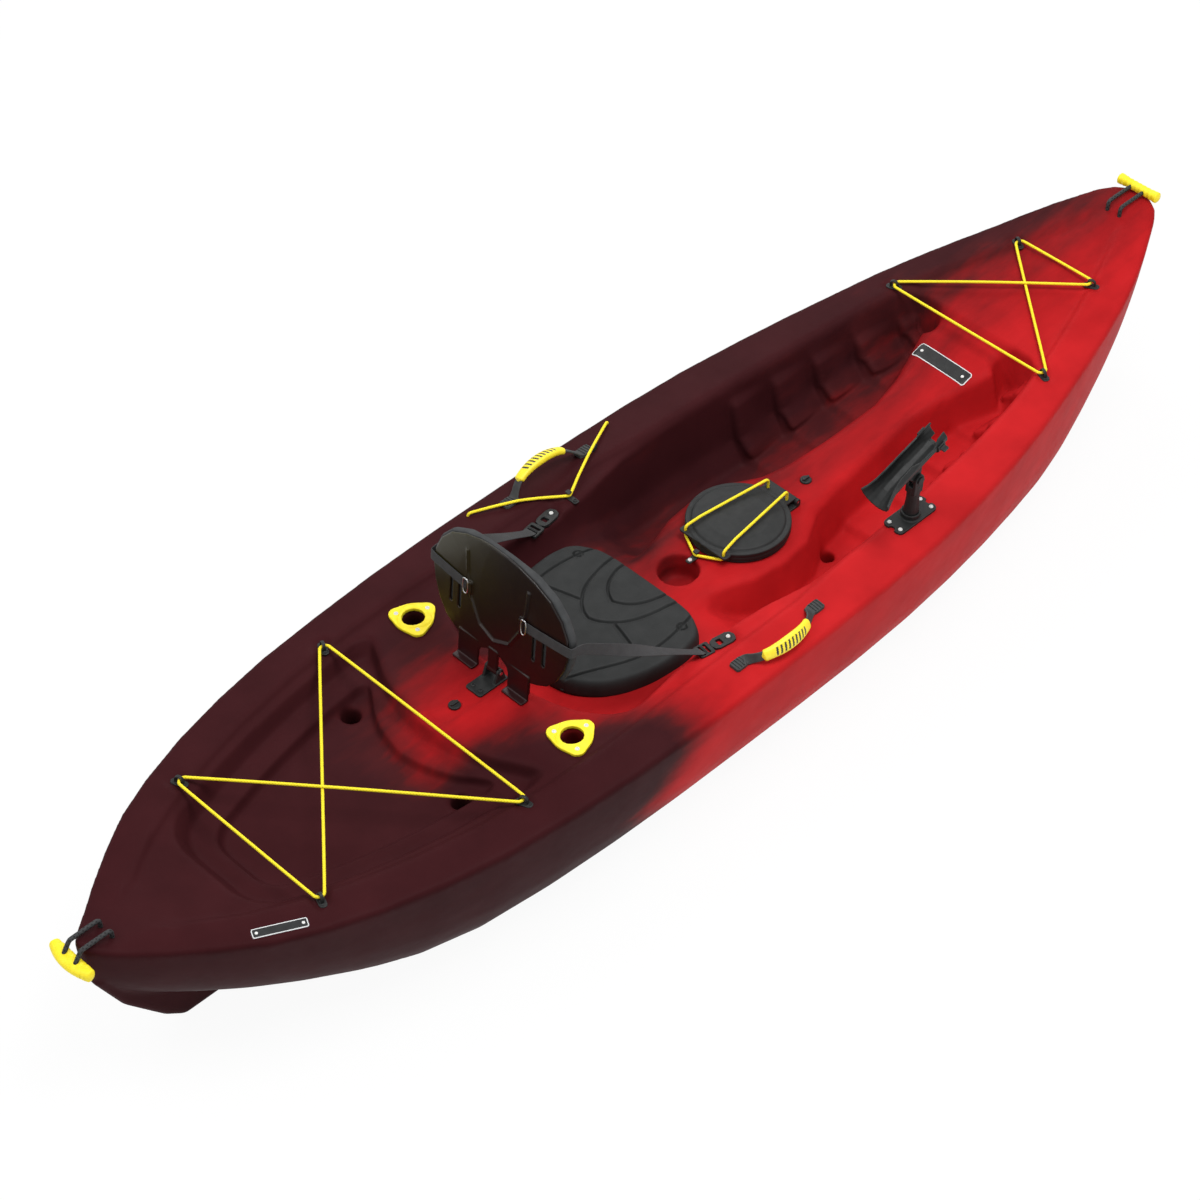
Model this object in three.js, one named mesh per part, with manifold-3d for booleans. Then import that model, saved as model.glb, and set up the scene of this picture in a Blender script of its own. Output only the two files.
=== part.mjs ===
// A sit-on-top fishing kayak, in millimetres. +X is the bow, +Y the port side and +Z up.
// The origin lies on the ground under the middle of the flat keel.
import * as THREE from "three";
import { mergeVertices } from "three/addons/utils/BufferGeometryUtils.js";
import Module from "manifold-3d";

const wasm = await Module();
wasm.setup();

// Driving dimensions

const gap = 0.3; // clearance between two pieces that touch
const overrun = 60; // how far a cut runs past the surface that it opens
const fit = 1.5; // room round a piece that sits in a recess
const fillet = 2; // rounding and small steps of moulded fittings

const hull = {
  length: 3048,
  beam: 787.4,
  depth: 325, // keel to the shoulder amidships
  crownRise: 17, // gunwale crown above the shoulder
  gunwale: 97, // width of the gunwale amidships
  bowRise: 98,
  sternRise: 23,
  lipWidth: 11, // from the gunwale's inner edge to the deck
  lipDrop: 12,
  ridge: 12, // rise of the foredeck's middle near the tip
};

// Its fore, heel and head lie this far inside the hull's aft end.
const skeg = {
  thickness: 34,
  fore: 524, // where its bottom edge leaves the keel
  heel: 192, // aft end of its bottom edge
  head: 11, // where its trailing edge meets the stern
  headHeight: 247,
  bevel: 9,
};

const tank = {
  foreMiddle: -672, // fore edge of the well on the centreline
  foreSide: -590,
  end: 292, // from the hull's aft end to the aft edge of the well
  edge: 8, // from the gunwale lip to the rim of the well
  shelf: 287, // height of the shelf round the floor
  floor: 264,
  wall: 30, // how far the wall leans in above the shelf
  shelfWidth: 45,
  shelfWall: 10,
};

const cockpit = {
  aft: -480,
  fore: 962,
  endRun: 137, // length over which the aft end rounds in
  seatFloor: 258,
  seatFore: -62, // where the seat floor starts down to the footwells
  wellSlope: 190, // length of that slope
  ledge: 46, // deck left beside the seat, inside the gunwale lip
  wellFloor: 160,
  wallRun: 30, // how far the side wall leans in
  foot: 26, // rounding at the foot of the side wall
  seatWall: 22, // the same two beside the seat, where the wall is low
  seatFoot: 14,
  foreWall: 20,
};

const brace = {
  first: 440,
  pitch: 117,
  count: 5,
  rise: 18,
  depth: 22,
  run: 16,
};

const console_ = {
  top: 260,
  halfWidth: 135,
  batter: 27, // how far its sides lean out to the footwells
  edge: 9, // rounding of its top edges
  hump: 100, // rise of the fore hump above the flat top
};

const cup = { x: 25, radius: 45, depth: 58, taper: 5 };

const compartment = { radius: 84, depth: 170 };

const hatch = {
  x: 204,
  lidRadius: 112,
  flange: 6,
  collar: 6,
  collarDepth: 24,
  upstand: 15,
  upstandWidth: 7,
  gasket: 4,
  gasketWidth: 14,
  lidThick: 7,
  skirtDrop: 11,
  skirtWall: 6,
  dome: 9,
  tabWidth: 134,
  tabThick: 6,
  facets: 24,
  tabReach: 111, // hatch centre to the aft edge of the cord tab
  tongueWidth: 78,
  pinReach: 136,
  pinRadius: 3,
  barrelRadius: 7,
  earWidth: 8,
  cordAftY: 55,
  cordForeY: 27,
  cordForeReach: 120,
};

const cordHook = {
  reach: 129, // from the hatch's centre to the hook that holds its cord
  length: 36,
  width: 14,
  base: 3,
  post: 5,
  lip: 3,
  room: 3, // free height between the cord and the lip
  seat: 1.2, // depth of the flat that it stands on
};

const cord = { radius: 3.5, bend: 12 };

const eye = {
  length: 38,
  width: 17,
  base: 3,
  holeRadius: 6.8,
  wall: 3.4,
  thickness: 7,
  pocketDepth: 7,
  pocketWidth: 34,
  flare: 14,
  pocketOut: 26, // from the eye to the pocket's outer wall
  pocketIn: 66, // from the eye to the pocket's mouth on the deck
};

// Their shares are of half the hull's length.
const lacings = [
  { name: "stern", aftShare: -0.73983, foreShare: -0.45407, aftInset: 12, foreInset: 1 },
  { name: "bow", aftShare: 0.60919, foreShare: 0.8023, aftInset: 11, foreInset: -4 },
];

const pad = {
  fore: -66,
  aft: -398,
  inset: 44.8, // from the cockpit's rim to its edge, half way along it
  thickness: 36,
  crown: 3,
  roll: 12, // how far its rounded edge draws in
  channel: 4.2,
  button: 9,
};

const back = {
  pivotX: -497,
  pivotRise: 19, // hinge pin above the rear deck
  lean: 5, // degrees forward of upright
  height: 304,
  halfWidth: 190,
  shell: 5,
  foam: 20,
  foamLip: 7,
  bend: 12, // how far the side edges come forward
  legOuter: 100,
  legInner: 42,
  archHeight: 46,
  footLength: 22,
  footThick: 5,
  stem: 26, // width of the hinge stem in the arch
  slotWidth: 8,
  slotHeight: 80,
  slotZ: 132,
  slotY: 118,
  slotPitch: 26,
  rib: 5,
  guideY: 74,
  guideZ: 168,
  guide: 15,
};

const bracket = {
  aft: -556,
  fore: -478,
  width: 44,
  base: 5,
  ear: 6,
  pinRadius: 4,
  bossRadius: 9,
};

const groove = { aft: -660, fore: -474, width: 64, depth: 8 };

const strap = {
  width: 25,
  thickness: 2,
  exitHeight: 168, // on the backrest's edge, above the pivot
};

const anchor = {
  x: -95,
  inset: 40, // from the gunwale's inner edge to the screw
  length: 58,
  width: 31,
  thickness: 7,
  boss: 8, // height of the boss under the screw's head
  window: 12,
  seat: 9, // depth of its flat below the ledge
  buckle: 34,
};

const screw = { radius: 4.6, head: 2.8, shank: 2.2, grip: 14 };

const rodTube = {
  x: -504,
  inset: 70, // from the gunwale's inner edge to the tube's axis
  radius: 24,
  depth: 190,
  lean: 8, // degrees
  bezelRadius: 38, // tube's axis to the middle of each corner
  bezelCorner: 15,
  bezel: 7,
  lip: 4,
};

const handle = {
  aft: -152,
  fore: 71,
  inset: 63, // from the hull's outer edge to the pads
  padLength: 42,
  padWidth: 27,
  padThick: 6,
  strapWidth: 20,
  strapThick: 5,
  rise: 46,
  gripLength: 132,
  gripWidth: 30,
  gripThick: 19,
  seat: 2.5,
  portTilt: 12, // degrees outboard of upright
  starboardTilt: 60,
};

const endHandle = {
  radius: 12.5,
  length: 114,
  rope: 4,
  spread: 17, // half the distance between the rope's two holes
  setIn: 26, // how deep the rope sits in its holes
  bow: { hole: 99, grip: 11, bow: 0 }, // hole and grip: how far inside the hull's end
  stern: { hole: 61, grip: -29, bow: 16 },
  sternHang: 28, // how far the stern grip hangs below the tip of the deck
};

const keeper = {
  hookX: -36,
  hookInset: 36, // from the gunwale's inner edge to the hook
  aft: -226,
  fore: 178,
  endInset: 26, // from the hull's outer edge to the cord's ends
  setIn: 14,
};

const holder = {
  x: 411,
  inset: 19, // from the gunwale's inner edge to the post's axis
  length: 118,
  width: 52,
  plate: 6,
  notch: 11,
  seat: 2, // depth of the flat that it stands on
  screwX: 48,
  screwY: 15,
  socket: 21,
  socketHeight: 13,
  post: 16.5,
  postHeight: 95,
  boltHeight: 115,
  boltRadius: 4,
  knuckle: 13,
  knuckleWidth: 34,
  lug: 12,
  elevation: 20, // degrees
  cradleReach: 70, // bolt to the trough's axis
  trough: 26,
  wall: 4.5,
  aft: -112,
  fore: 84,
  flare: 12,
  collarAt: 52,
  collar: 20,
  collarWall: 4,
};

const plug = { radius: 13, head: 4, grip: 5, gripWidth: 6, shank: 9, depth: 20 };
const plugs = { stern: -604, bow: 414 };

const scupper = { tankX: -737, tankY: 160, tankRadius: 21, footX: 352, footY: 124, footRadius: 17 };

// Shares that shape the hull: places along the half length, then the share there

const planShares = [
  [-1, 0.04], [-0.985, 0.1], [-0.957, 0.19], [-0.896, 0.378], [-0.813, 0.586], [-0.747, 0.695],
  [-0.648, 0.817], [-0.526, 0.915], [-0.39, 0.967], [-0.22, 1], [-0.05, 1], [0.121, 0.99],
  [0.247, 0.965], [0.399, 0.895], [0.544, 0.785], [0.661, 0.67], [0.76, 0.555], [0.857, 0.42],
  [0.945, 0.25], [0.9856, 0.15], [1, 0.05],
];
const bowSheerShares = [
  [0, 0], [0.197, 0.06], [0.394, 0.135], [0.538, 0.27], [0.61, 0.38], [0.722, 0.5], [0.8, 0.57],
  [0.853, 0.68], [0.932, 0.9], [0.978, 1], [1, 1],
];
const sternSheerShares = [
  [0, 0], [0.197, -0.3], [0.459, -0.52], [0.722, -0.3], [0.853, 0], [0.958, 0.35], [1, 1],
];
const bowKeelShares = [
  [0, 0], [0.656, 0], [0.787, 0.037], [0.886, 0.092], [0.951, 0.2], [0.984, 0.4], [1, 0.77],
];
const sternKeelShares = [
  [0, 0], [0.623, 0], [0.722, 0.068], [0.84, 0.23], [0.919, 0.43], [0.965, 0.615], [1, 0.86],
];
const gunwaleShares = [
  [-1, 0.85], [-0.7, 0.87], [-0.43, 0.87], [-0.11, 1.04], [0, 1], [0.177, 1.11], [0.335, 1.07],
  [0.433, 0.99], [0.538, 0.88], [0.604, 0.84], [0.8, 0.9], [1, 0.9],
];
// Across a section: share of the half breadth, then share of the height from keel to shoulder
const midSectionShares = [
  [0, 0], [0.1, 0], [0.2, 0.045], [0.4, 0.045], [0.5, 0], [0.62, 0.004], [0.724, 0.037],
  [0.82, 0.2], [0.893, 0.4], [0.94, 0.62], [0.985, 0.89], [1, 1],
];
const endSectionShares = [
  [0, 0], [0.12, 0], [0.22, 0.03], [0.34, 0.09], [0.45, 0.16], [0.55, 0.25], [0.64, 0.355],
  [0.74, 0.49], [0.82, 0.62], [0.89, 0.75], [0.965, 0.91], [1, 1],
];
// Across the gunwale: share of its width from the outside, then share of the crown's rise
const crownShares = [[0, 0], [0.06, 0.47], [0.35, 0.68], [0.76, 0.94], [1, 1]];
const stationShares = [
  -1, -0.995, -0.983, -0.96, -0.925, -0.88, -0.825, -0.76, -0.69, -0.61, -0.52, -0.42, -0.31,
  -0.2, -0.08, 0.04, 0.16, 0.27, 0.37, 0.46, 0.54, 0.615, 0.685, 0.75, 0.81, 0.86, 0.905, 0.94,
  0.966, 0.984, 0.994, 1,
];

// Shares that shape the wells

const tankForeShares = [[0, 0], [0.12, 0.25], [0.25, 0.44], [0.5, 0.64], [0.82, 0.82], [1, 0.95]];
const tankSideShares = [0.05, 0.2, 0.37, 0.54, 0.7, 0.83, 0.92];
const tankEndShares = [[0.955, 0.94], [0.985, 0.8], [1, 0.55]];
const cockpitEndShares = [
  [0, 0.2], [0.04, 0.34], [0.12, 0.52], [0.25, 0.69], [0.4, 0.81], [0.55, 0.9], [0.75, 0.97], [1, 1],
];
const cockpitDropShares = [[0, 1], [0.07, 0.6], [0.17, 0.25], [0.32, 0.05], [0.5, 0]];
const ledgeShares = [
  [-0.315, 0.45], [-0.225, 0.6], [-0.13, 0.88], [-0.06, 1], [0, 0.9], [0.055, 0.5], [0.11, 0.12],
  [0.25, 0.05], [0.65, 0.05],
];
const consoleWidthShares = [
  [-0.041, 0.44], [0, 0.63], [0.033, 0.74], [0.066, 0.89], [0.125, 1], [0.184, 0.93],
  [0.247, 0.56], [0.328, 0.44], [0.427, 0.37], [0.472, 0.31], [0.518, 0.48], [0.558, 0.74],
  [0.61, 0.89],
];
const consoleHumpShares = [
  [0.24, 0], [0.3, 0.02], [0.394, 0.15], [0.492, 0.4], [0.564, 0.6], [0.6, 0.8], [0.627, 1],
];
const wellSlopeShares = [[0, 0], [0.25, 0.2], [0.55, 0.65], [0.8, 0.93], [1, 1]];

// Shares that shape the seat: length from the fore edge, then half width
const padOutlineShares = [
  [0, 0.42], [0.012, 0.62], [0.05, 0.78], [0.1, 0.9], [0.17, 0.97], [0.3, 1], [0.5, 0.975],
  [0.68, 0.9], [0.82, 0.78], [0.92, 0.62], [0.98, 0.45], [1, 0.3],
];
const innerUShares = [[-0.02, 0.31], [0.09, 0.3], [0.2, 0.235], [0.275, 0.13], [0.312, 0]];
const outerUShares = [[-0.02, 0.47], [0.18, 0.43], [0.34, 0.35], [0.44, 0.23], [0.5, 0.1], [0.518, 0]];
const diagonalShares = [[0.44, 0.26], [0.47, 0.45], [0.52, 0.72]];
const wingShares = [[-0.02, 0.67], [0.16, 0.75], [0.38, 0.79], [0.56, 0.75], [0.79, 0.58], [1.04, 0.38]];
const buttonShare = [0.16, 0.75];
// Height up the backrest, then half width
const backShares = [
  [0, 0.525], [0.1, 0.525], [0.12, 0.62], [0.16, 0.75], [0.26, 0.88], [0.375, 0.96], [0.5, 1],
  [0.625, 0.975], [0.75, 0.885], [0.86, 0.73], [0.94, 0.5], [0.985, 0.28], [1, 0.12],
];
const backRibShares = [[0.45, 0.84], [0.43, 0.66], [0.36, 0.47], [0.22, 0.31], [0, 0.25]];

// Materials

function paint(color, roughness, metalness = 0) {
  return new THREE.MeshStandardMaterial({ color, roughness, metalness });
}
const redPlastic = paint(0xa82428, 0.42);
const blackPlastic = paint(0x2b2c2d, 0.5);
const yellowPlastic = paint(0xf6dc22, 0.45);
const yellowCord = paint(0xf2df2c, 0.6);
const blackRubber = paint(0x333434, 0.75);
const blackFoam = paint(0x38393a, 0.9);
const blackWebbing = paint(0x444444, 0.85);
const steel = paint(0xc9cccf, 0.3, 1);

// Small maths

const { lerp, clamp, smoothstep, degToRad } = THREE.MathUtils;
const vec = (x, y, z) => new THREE.Vector3(x, y, z);
const up = vec(0, 0, 1);
const sides = { port: 1, starboard: -1 };

// A smooth line through a table of places and values that never overshoots them.
function smooth(table) {
  const last = table.length - 1;
  const rates = table.slice(1).map(([x, y], i) => (y - table[i][1]) / (x - table[i][0]));
  const slopes = table.map((_, i) => {
    if (i === 0) return rates[0];
    if (i === last) return rates[last - 1];
    const [a, b] = [rates[i - 1], rates[i]];
    return a * b > 0 ? (2 * a * b) / (a + b) : 0;
  });
  return (place) => {
    const x = clamp(place, table[0][0], table[last][0]);
    let i = 0;
    while (i < last - 1 && x > table[i + 1][0]) i += 1;
    const run = table[i + 1][0] - table[i][0];
    const t = (x - table[i][0]) / run;
    const bend = t * t * (3 - 2 * t);
    const lead = t * (1 - t) * (1 - t) * run;
    const tail = t * t * (1 - t) * run;
    return lerp(table[i][1], table[i + 1][1], bend) + slopes[i] * lead - slopes[i + 1] * tail;
  };
}

// Straight lines through the same kind of table.
function straight(table) {
  return (place) => {
    const last = table.length - 1;
    const x = clamp(place, table[0][0], table[last][0]);
    let i = 0;
    while (i < last - 1 && x > table[i + 1][0]) i += 1;
    return lerp(table[i][1], table[i + 1][1], (x - table[i][0]) / (table[i + 1][0] - table[i][0]));
  };
}

// Solids

const weld = 1e-4;
const speck = 0.1;

function solidFrom(points, faces) {
  let volume = 0;
  for (let i = 0; i < faces.length; i += 3) {
    const [a, b, c] = [points[faces[i]], points[faces[i + 1]], points[faces[i + 2]]];
    volume += a.dot(b.clone().cross(c));
  }
  const order = volume < 0 ? [0, 2, 1] : [0, 1, 2];
  const triVerts = new Uint32Array(faces.length);
  for (let i = 0; i < faces.length; i += 3) {
    order.forEach((k, j) => {
      triVerts[i + j] = faces[i + k];
    });
  }
  const vertProperties = new Float32Array(points.flatMap((p) => [p.x, p.y, p.z]));
  return new wasm.Manifold(new wasm.Mesh({ numProp: 3, vertProperties, triVerts }));
}

// A three.js geometry, moved by a matrix where one is given, as a solid.
function solidOf(geometry, matrix) {
  const bare = new THREE.BufferGeometry();
  const loose = geometry.index ? geometry.toNonIndexed() : geometry;
  bare.setAttribute("position", loose.getAttribute("position").clone());
  if (matrix) bare.applyMatrix4(matrix);
  const merged = mergeVertices(bare, weld);
  return new wasm.Manifold(
    new wasm.Mesh({
      numProp: 3,
      vertProperties: merged.attributes.position.array,
      triVerts: new Uint32Array(merged.index.array),
    }),
  );
}

const normalOf = (a, b, c) => b.clone().sub(a).cross(c.clone().sub(a));

// Points and triangles of a solid without the specks that cuts leave: an edge shorter than a
// speck is drawn together, and a corner that lies on the edge across from it gets edges of its own.
function tidied(solid) {
  const { vertProperties, triVerts } = solid.getMesh();
  const points = [];
  for (let i = 0; i < vertProperties.length; i += 3) {
    points.push(vec(...vertProperties.subarray(i, i + 3)));
  }
  const faces = [];
  for (let i = 0; i < triVerts.length; i += 3) faces.push([...triVerts.subarray(i, i + 3)]);
  const around = points.map(() => new Set());
  const put = (f) => faces[f].forEach((p) => around[p].add(f));
  const take = (f) => faces[f].forEach((p) => around[p].delete(f));
  faces.forEach((_, f) => put(f));

  const cornersOf = (face) => face.map((p) => points[p]);
  const longest = ([a, b, c]) => Math.max(a.distanceTo(b), b.distanceTo(c), c.distanceTo(a));
  const height = (face) => normalOf(...cornersOf(face)).length() / longest(cornersOf(face));
  const near = (p) => new Set([...around[p]].flatMap((f) => faces[f]));
  const moved = (face, from, to) => face.map((p) => (p === from ? to : p));

  // How far a corner leaves its faces' planes when it moves to another, or no end if a face turns over.
  function cost(from, to) {
    const shared = [...near(from)].filter((p) => p !== from && p !== to && near(to).has(p));
    if (shared.length !== 2) return Infinity;
    let worst = 0;
    for (const f of around[from]) {
      if (faces[f].includes(to)) continue;
      const before = normalOf(...cornersOf(faces[f]));
      const after = normalOf(...cornersOf(moved(faces[f], from, to)));
      if (height(faces[f]) > speck && before.dot(after) <= 0) return Infinity;
      const leap = points[to].clone().sub(points[from]);
      worst = Math.max(worst, Math.abs(leap.dot(before.normalize())));
    }
    return worst;
  }

  function draw(from, to) {
    for (const f of [...around[from]]) {
      take(f);
      if (faces[f].includes(to)) {
        faces[f] = null;
      } else {
        faces[f] = moved(faces[f], from, to);
        put(f);
      }
    }
  }

  function turnEdge(f) {
    const corners = faces[f];
    const lengths = corners.map((p, i) => points[p].distanceTo(points[corners[(i + 1) % 3]]));
    const i = lengths.indexOf(Math.max(...lengths));
    const [a, b, c] = [corners[i], corners[(i + 1) % 3], corners[(i + 2) % 3]];
    const other = [...around[a]].find((g) => g !== f && faces[g].includes(b));
    const d = faces[other].find((p) => p !== a && p !== b);
    if (near(c).has(d)) return false;
    const pair = [[a, d, c], [d, b, c]];
    const side = normalOf(...cornersOf(faces[other]));
    const turns = pair.some((face) => normalOf(...cornersOf(face)).dot(side) <= 0);
    const least = Math.min(height(corners), height(faces[other]));
    if (turns || Math.min(...pair.map(height)) <= least) return false;
    [f, other].forEach((face, k) => {
      take(face);
      faces[face] = pair[k];
    });
    [f, other].forEach(put);
    return true;
  }

  for (let changed = true; changed; ) {
    changed = false;
    for (let f = 0; f < faces.length; f += 1) {
      for (let i = 0; faces[f] && i < 3; i += 1) {
        const [a, b] = [faces[f][i], faces[f][(i + 1) % 3]];
        if (points[a].distanceTo(points[b]) >= speck) continue;
        const costs = [cost(a, b), cost(b, a)];
        if (Math.min(...costs) > speck) continue;
        if (costs[0] <= costs[1]) draw(a, b);
        else draw(b, a);
        changed = true;
      }
      if (faces[f] && height(faces[f]) < speck && turnEdge(f)) changed = true;
    }
  }
  return { points, faces: faces.filter((face) => face) };
}

function geometryOf(solid) {
  const { points, faces } = tidied(solid);
  const corners = faces.flat().flatMap((p) => points[p].toArray());
  const geometry = new THREE.BufferGeometry();
  geometry.setAttribute("position", new THREE.Float32BufferAttribute(corners, 3));
  geometry.computeVertexNormals();
  return geometry;
}

const joined = (...solids) => solids.reduce((all, next) => all.add(next));
const cutBy = (solid, cutters) => cutters.reduce((rest, next) => rest.subtract(next), solid);

// The flat cap of a ring, its triangles turned the way the ring runs.
function cap(ring) {
  const normal = vec(0, 0, 0);
  ring.forEach((p, i) => normal.add(p.clone().cross(ring[(i + 1) % ring.length])));
  normal.normalize();
  const side = Math.abs(normal.z) < 0.9 ? up : vec(1, 0, 0);
  const across = side.clone().cross(normal).normalize();
  const along = normal.clone().cross(across);
  const flat = ring.map((p) => new THREE.Vector2(p.dot(across), p.dot(along)));
  const triangles = THREE.ShapeUtils.triangulateShape(flat, []);
  const area = triangles.reduce(
    (sum, corners) => sum + THREE.ShapeUtils.area(corners.map((i) => flat[i])),
    0,
  );
  return area > 0 ? triangles : triangles.map(([a, b, c]) => [a, c, b]);
}

// A solid through rings of equally many points: capped at both ends, or closed on itself.
// Each four-cornered field is split along its shorter diagonal.
function loft(rings, closed = false) {
  const n = rings[0].length;
  const points = rings.flat();
  const faces = [];
  const spans = closed ? rings.length : rings.length - 1;
  for (let k = 0; k < spans; k += 1) {
    const here = k * n;
    const next = ((k + 1) % rings.length) * n;
    for (let i = 0; i < n; i += 1) {
      const j = (i + 1) % n;
      const [a, b, c, d] = [here + i, here + j, next + j, next + i];
      const ahead = points[a].distanceToSquared(points[c]);
      const across = points[b].distanceToSquared(points[d]);
      faces.push(...(ahead < across + weld ? [a, b, c, a, c, d] : [a, b, d, b, c, d]));
    }
  }
  const close = (ring, start, turn) => {
    let triangles = cap(ring);
    if (triangles.length < n - 2) {
      const middle = points.length;
      points.push(ring.reduce((sum, p) => sum.add(p), vec(0, 0, 0)).divideScalar(n));
      triangles = ring.map((_, i) => [i, (i + 1) % n, middle - start]);
    }
    triangles.forEach(([a, b, c]) => {
      faces.push(start + a, start + (turn ? c : b), start + (turn ? b : c));
    });
  };
  if (!closed) {
    close(rings[0], 0, true);
    close(rings[rings.length - 1], (rings.length - 1) * n, false);
  }
  return solidFrom(points, faces);
}

// A ring from its port half, whose points on the centreline aren't repeated.
const mirroredRing = (half) => [
  ...half,
  ...half.filter((p) => p.y > 0).reverse().map((p) => vec(p.x, -p.y, p.z)),
];

// A plate of an outline in X and Y, from z = 0 up, with holes of the same kind.
function plate(points, thickness, holes = [], matrix = undefined) {
  const shape = new THREE.Shape(points);
  holes.forEach((hole) => shape.holes.push(new THREE.Path(hole)));
  return solidOf(new THREE.ExtrudeGeometry(shape, { depth: thickness, bevelEnabled: false }), matrix);
}

function circlePoints(radius, count, x = 0, y = 0) {
  return Array.from({ length: count }, (_, i) => {
    const turn = (i / count) * 2 * Math.PI;
    return new THREE.Vector2(x + radius * Math.cos(turn), y + radius * Math.sin(turn));
  });
}

function roundedBox(length, width, radius, x = 0, y = 0, steps = 3) {
  const corner = Math.min(radius, length / 2, width / 2);
  const centres = [[1, 1], [-1, 1], [-1, -1], [1, -1]];
  return centres.flatMap(([i, j], quarter) =>
    Array.from({ length: steps + 1 }, (_, k) => {
      const turn = ((quarter + k / steps) * Math.PI) / 2;
      return new THREE.Vector2(
        x + i * (length / 2 - corner) + corner * Math.cos(turn),
        y + j * (width / 2 - corner) + corner * Math.sin(turn),
      );
    }),
  );
}

// A solid of revolution about Z from a closed or axis-to-axis profile of radius and height.
function turned(profile, segments, matrix = undefined) {
  const points = profile.map(([r, z]) => new THREE.Vector2(r, z));
  const geometry = new THREE.LatheGeometry(points, segments).rotateX(Math.PI / 2);
  const solid = solidOf(geometry, matrix);
  if (solid.volume() > 0) return solid;
  const reversed = new THREE.LatheGeometry(points.reverse(), segments).rotateX(Math.PI / 2);
  return solidOf(reversed, matrix);
}

// A round bar along Z, from z = 0 to its length.
function bar(radius, length, segments = 16, matrix = undefined) {
  return turned([[0, 0], [radius, 0], [radius, length], [0, length]], segments, matrix);
}

const shift = (x, y, z) => new THREE.Matrix4().makeTranslation(x, y, z);
const spinX = (angle) => new THREE.Matrix4().makeRotationX(angle);
const spinY = (angle) => new THREE.Matrix4().makeRotationY(angle);
const spinZ = (angle) => new THREE.Matrix4().makeRotationZ(angle);
const chain = (...matrices) => matrices.reduce((all, next) => all.clone().multiply(next));

// A frame at a point whose Z is the normal and whose X points as nearly as it can along heading.
function frameAt(point, normal, heading) {
  const z = normal.clone().normalize();
  const y = z.clone().cross(heading).normalize();
  const x = y.clone().cross(z);
  return new THREE.Matrix4().makeBasis(x, y, z).setPosition(point);
}

// A tube of a section given as [across, along normal] pairs, along a path of points.
function sweep(path, section, closed = false, firstUp = up) {
  const count = path.length;
  const tangents = path.map((p, i) => {
    const before = closed ? path[(i + count - 1) % count] : path[Math.max(i - 1, 0)];
    const after = closed ? path[(i + 1) % count] : path[Math.min(i + 1, count - 1)];
    const inward = p.clone().sub(before).normalize();
    const outward = after.clone().sub(p).normalize();
    return inward.add(outward).normalize();
  });
  let normal = firstUp.clone();
  const normals = tangents.map((t) => {
    normal = normal.clone().addScaledVector(t, -normal.dot(t)).normalize();
    return normal;
  });
  const rings = path.map((p, i) => {
    const across = tangents[i].clone().cross(normals[i]);
    return section.map(([a, b]) => p.clone().addScaledVector(across, a).addScaledVector(normals[i], b));
  });
  return loft(rings, closed);
}

const roundSection = (radius, count = 6) =>
  circlePoints(radius, count).map((p) => [p.x, p.y]);
const flatSection = (width, thickness) => [
  [-width / 2, -thickness / 2],
  [width / 2, -thickness / 2],
  [width / 2, thickness / 2],
  [-width / 2, thickness / 2],
];

// A path whose corners are rounded to a radius, with more points where it turns further.
function rounded(points, radius, closed = false, steps = 3) {
  const count = points.length;
  return points.flatMap((p, i) => {
    if (!closed && (i === 0 || i === count - 1)) return [p.clone()];
    const back = points[(i + count - 1) % count].clone().sub(p);
    const ahead = points[(i + 1) % count].clone().sub(p);
    const room = Math.min(back.length(), ahead.length()) * 0.49;
    const [a, b] = [back.normalize(), ahead.normalize()];
    const half = a.angleTo(b) / 2;
    if (half > Math.PI * 0.49) return [p.clone()];
    const reach = Math.min(radius / Math.tan(half), room);
    const bend = reach * Math.tan(half);
    const axis = a.clone().add(b).normalize();
    const centre = p.clone().addScaledVector(axis, bend / Math.sin(half));
    const from = p.clone().addScaledVector(a, reach).sub(centre);
    const to = p.clone().addScaledVector(b, reach).sub(centre);
    const sweepAngle = from.angleTo(to);
    const pieces = Math.max(1, Math.ceil((steps * sweepAngle) / (Math.PI / 2)));
    return Array.from({ length: pieces + 1 }, (_, k) => {
      const t = k / pieces;
      const first = Math.sin((1 - t) * sweepAngle) / Math.sin(sweepAngle);
      const second = Math.sin(t * sweepAngle) / Math.sin(sweepAngle);
      return centre.clone().addScaledVector(from, first).addScaledVector(to, second);
    });
  });
}

// The kayak and what is cut out of its hull

const kayak = new THREE.Group();
const hullCuts = [];

function add(name, solid, material, frame = undefined) {
  const mesh = new THREE.Mesh(geometryOf(solid), material);
  mesh.name = name;
  if (frame) mesh.applyMatrix4(frame);
  kayak.add(mesh);
}

// Hull surface

const halfLength = hull.length / 2;
const planShape = smooth(planShares);
const bowSheer = smooth(bowSheerShares);
const sternSheer = smooth(sternSheerShares);
const bowKeel = smooth(bowKeelShares);
const sternKeel = smooth(sternKeelShares);
const gunwaleShape = smooth(gunwaleShares);
const crownShape = straight(crownShares);
const ledgeShape = smooth(ledgeShares);

const along = (x) => x / halfLength;
const outerAt = (x) => (hull.beam / 2) * planShape(along(x));
const gunwaleAt = (x) => Math.min(hull.gunwale * gunwaleShape(along(x)), outerAt(x) * 0.62);
const innerAt = (x) => outerAt(x) - gunwaleAt(x);
const keelAt = (x) => hull.depth * (x > 0 ? bowKeel(along(x)) : sternKeel(-along(x)));
const endness = (x) => smoothstep(Math.abs(along(x)), x > 0 ? 0.6 : 0.45, 1);

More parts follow.
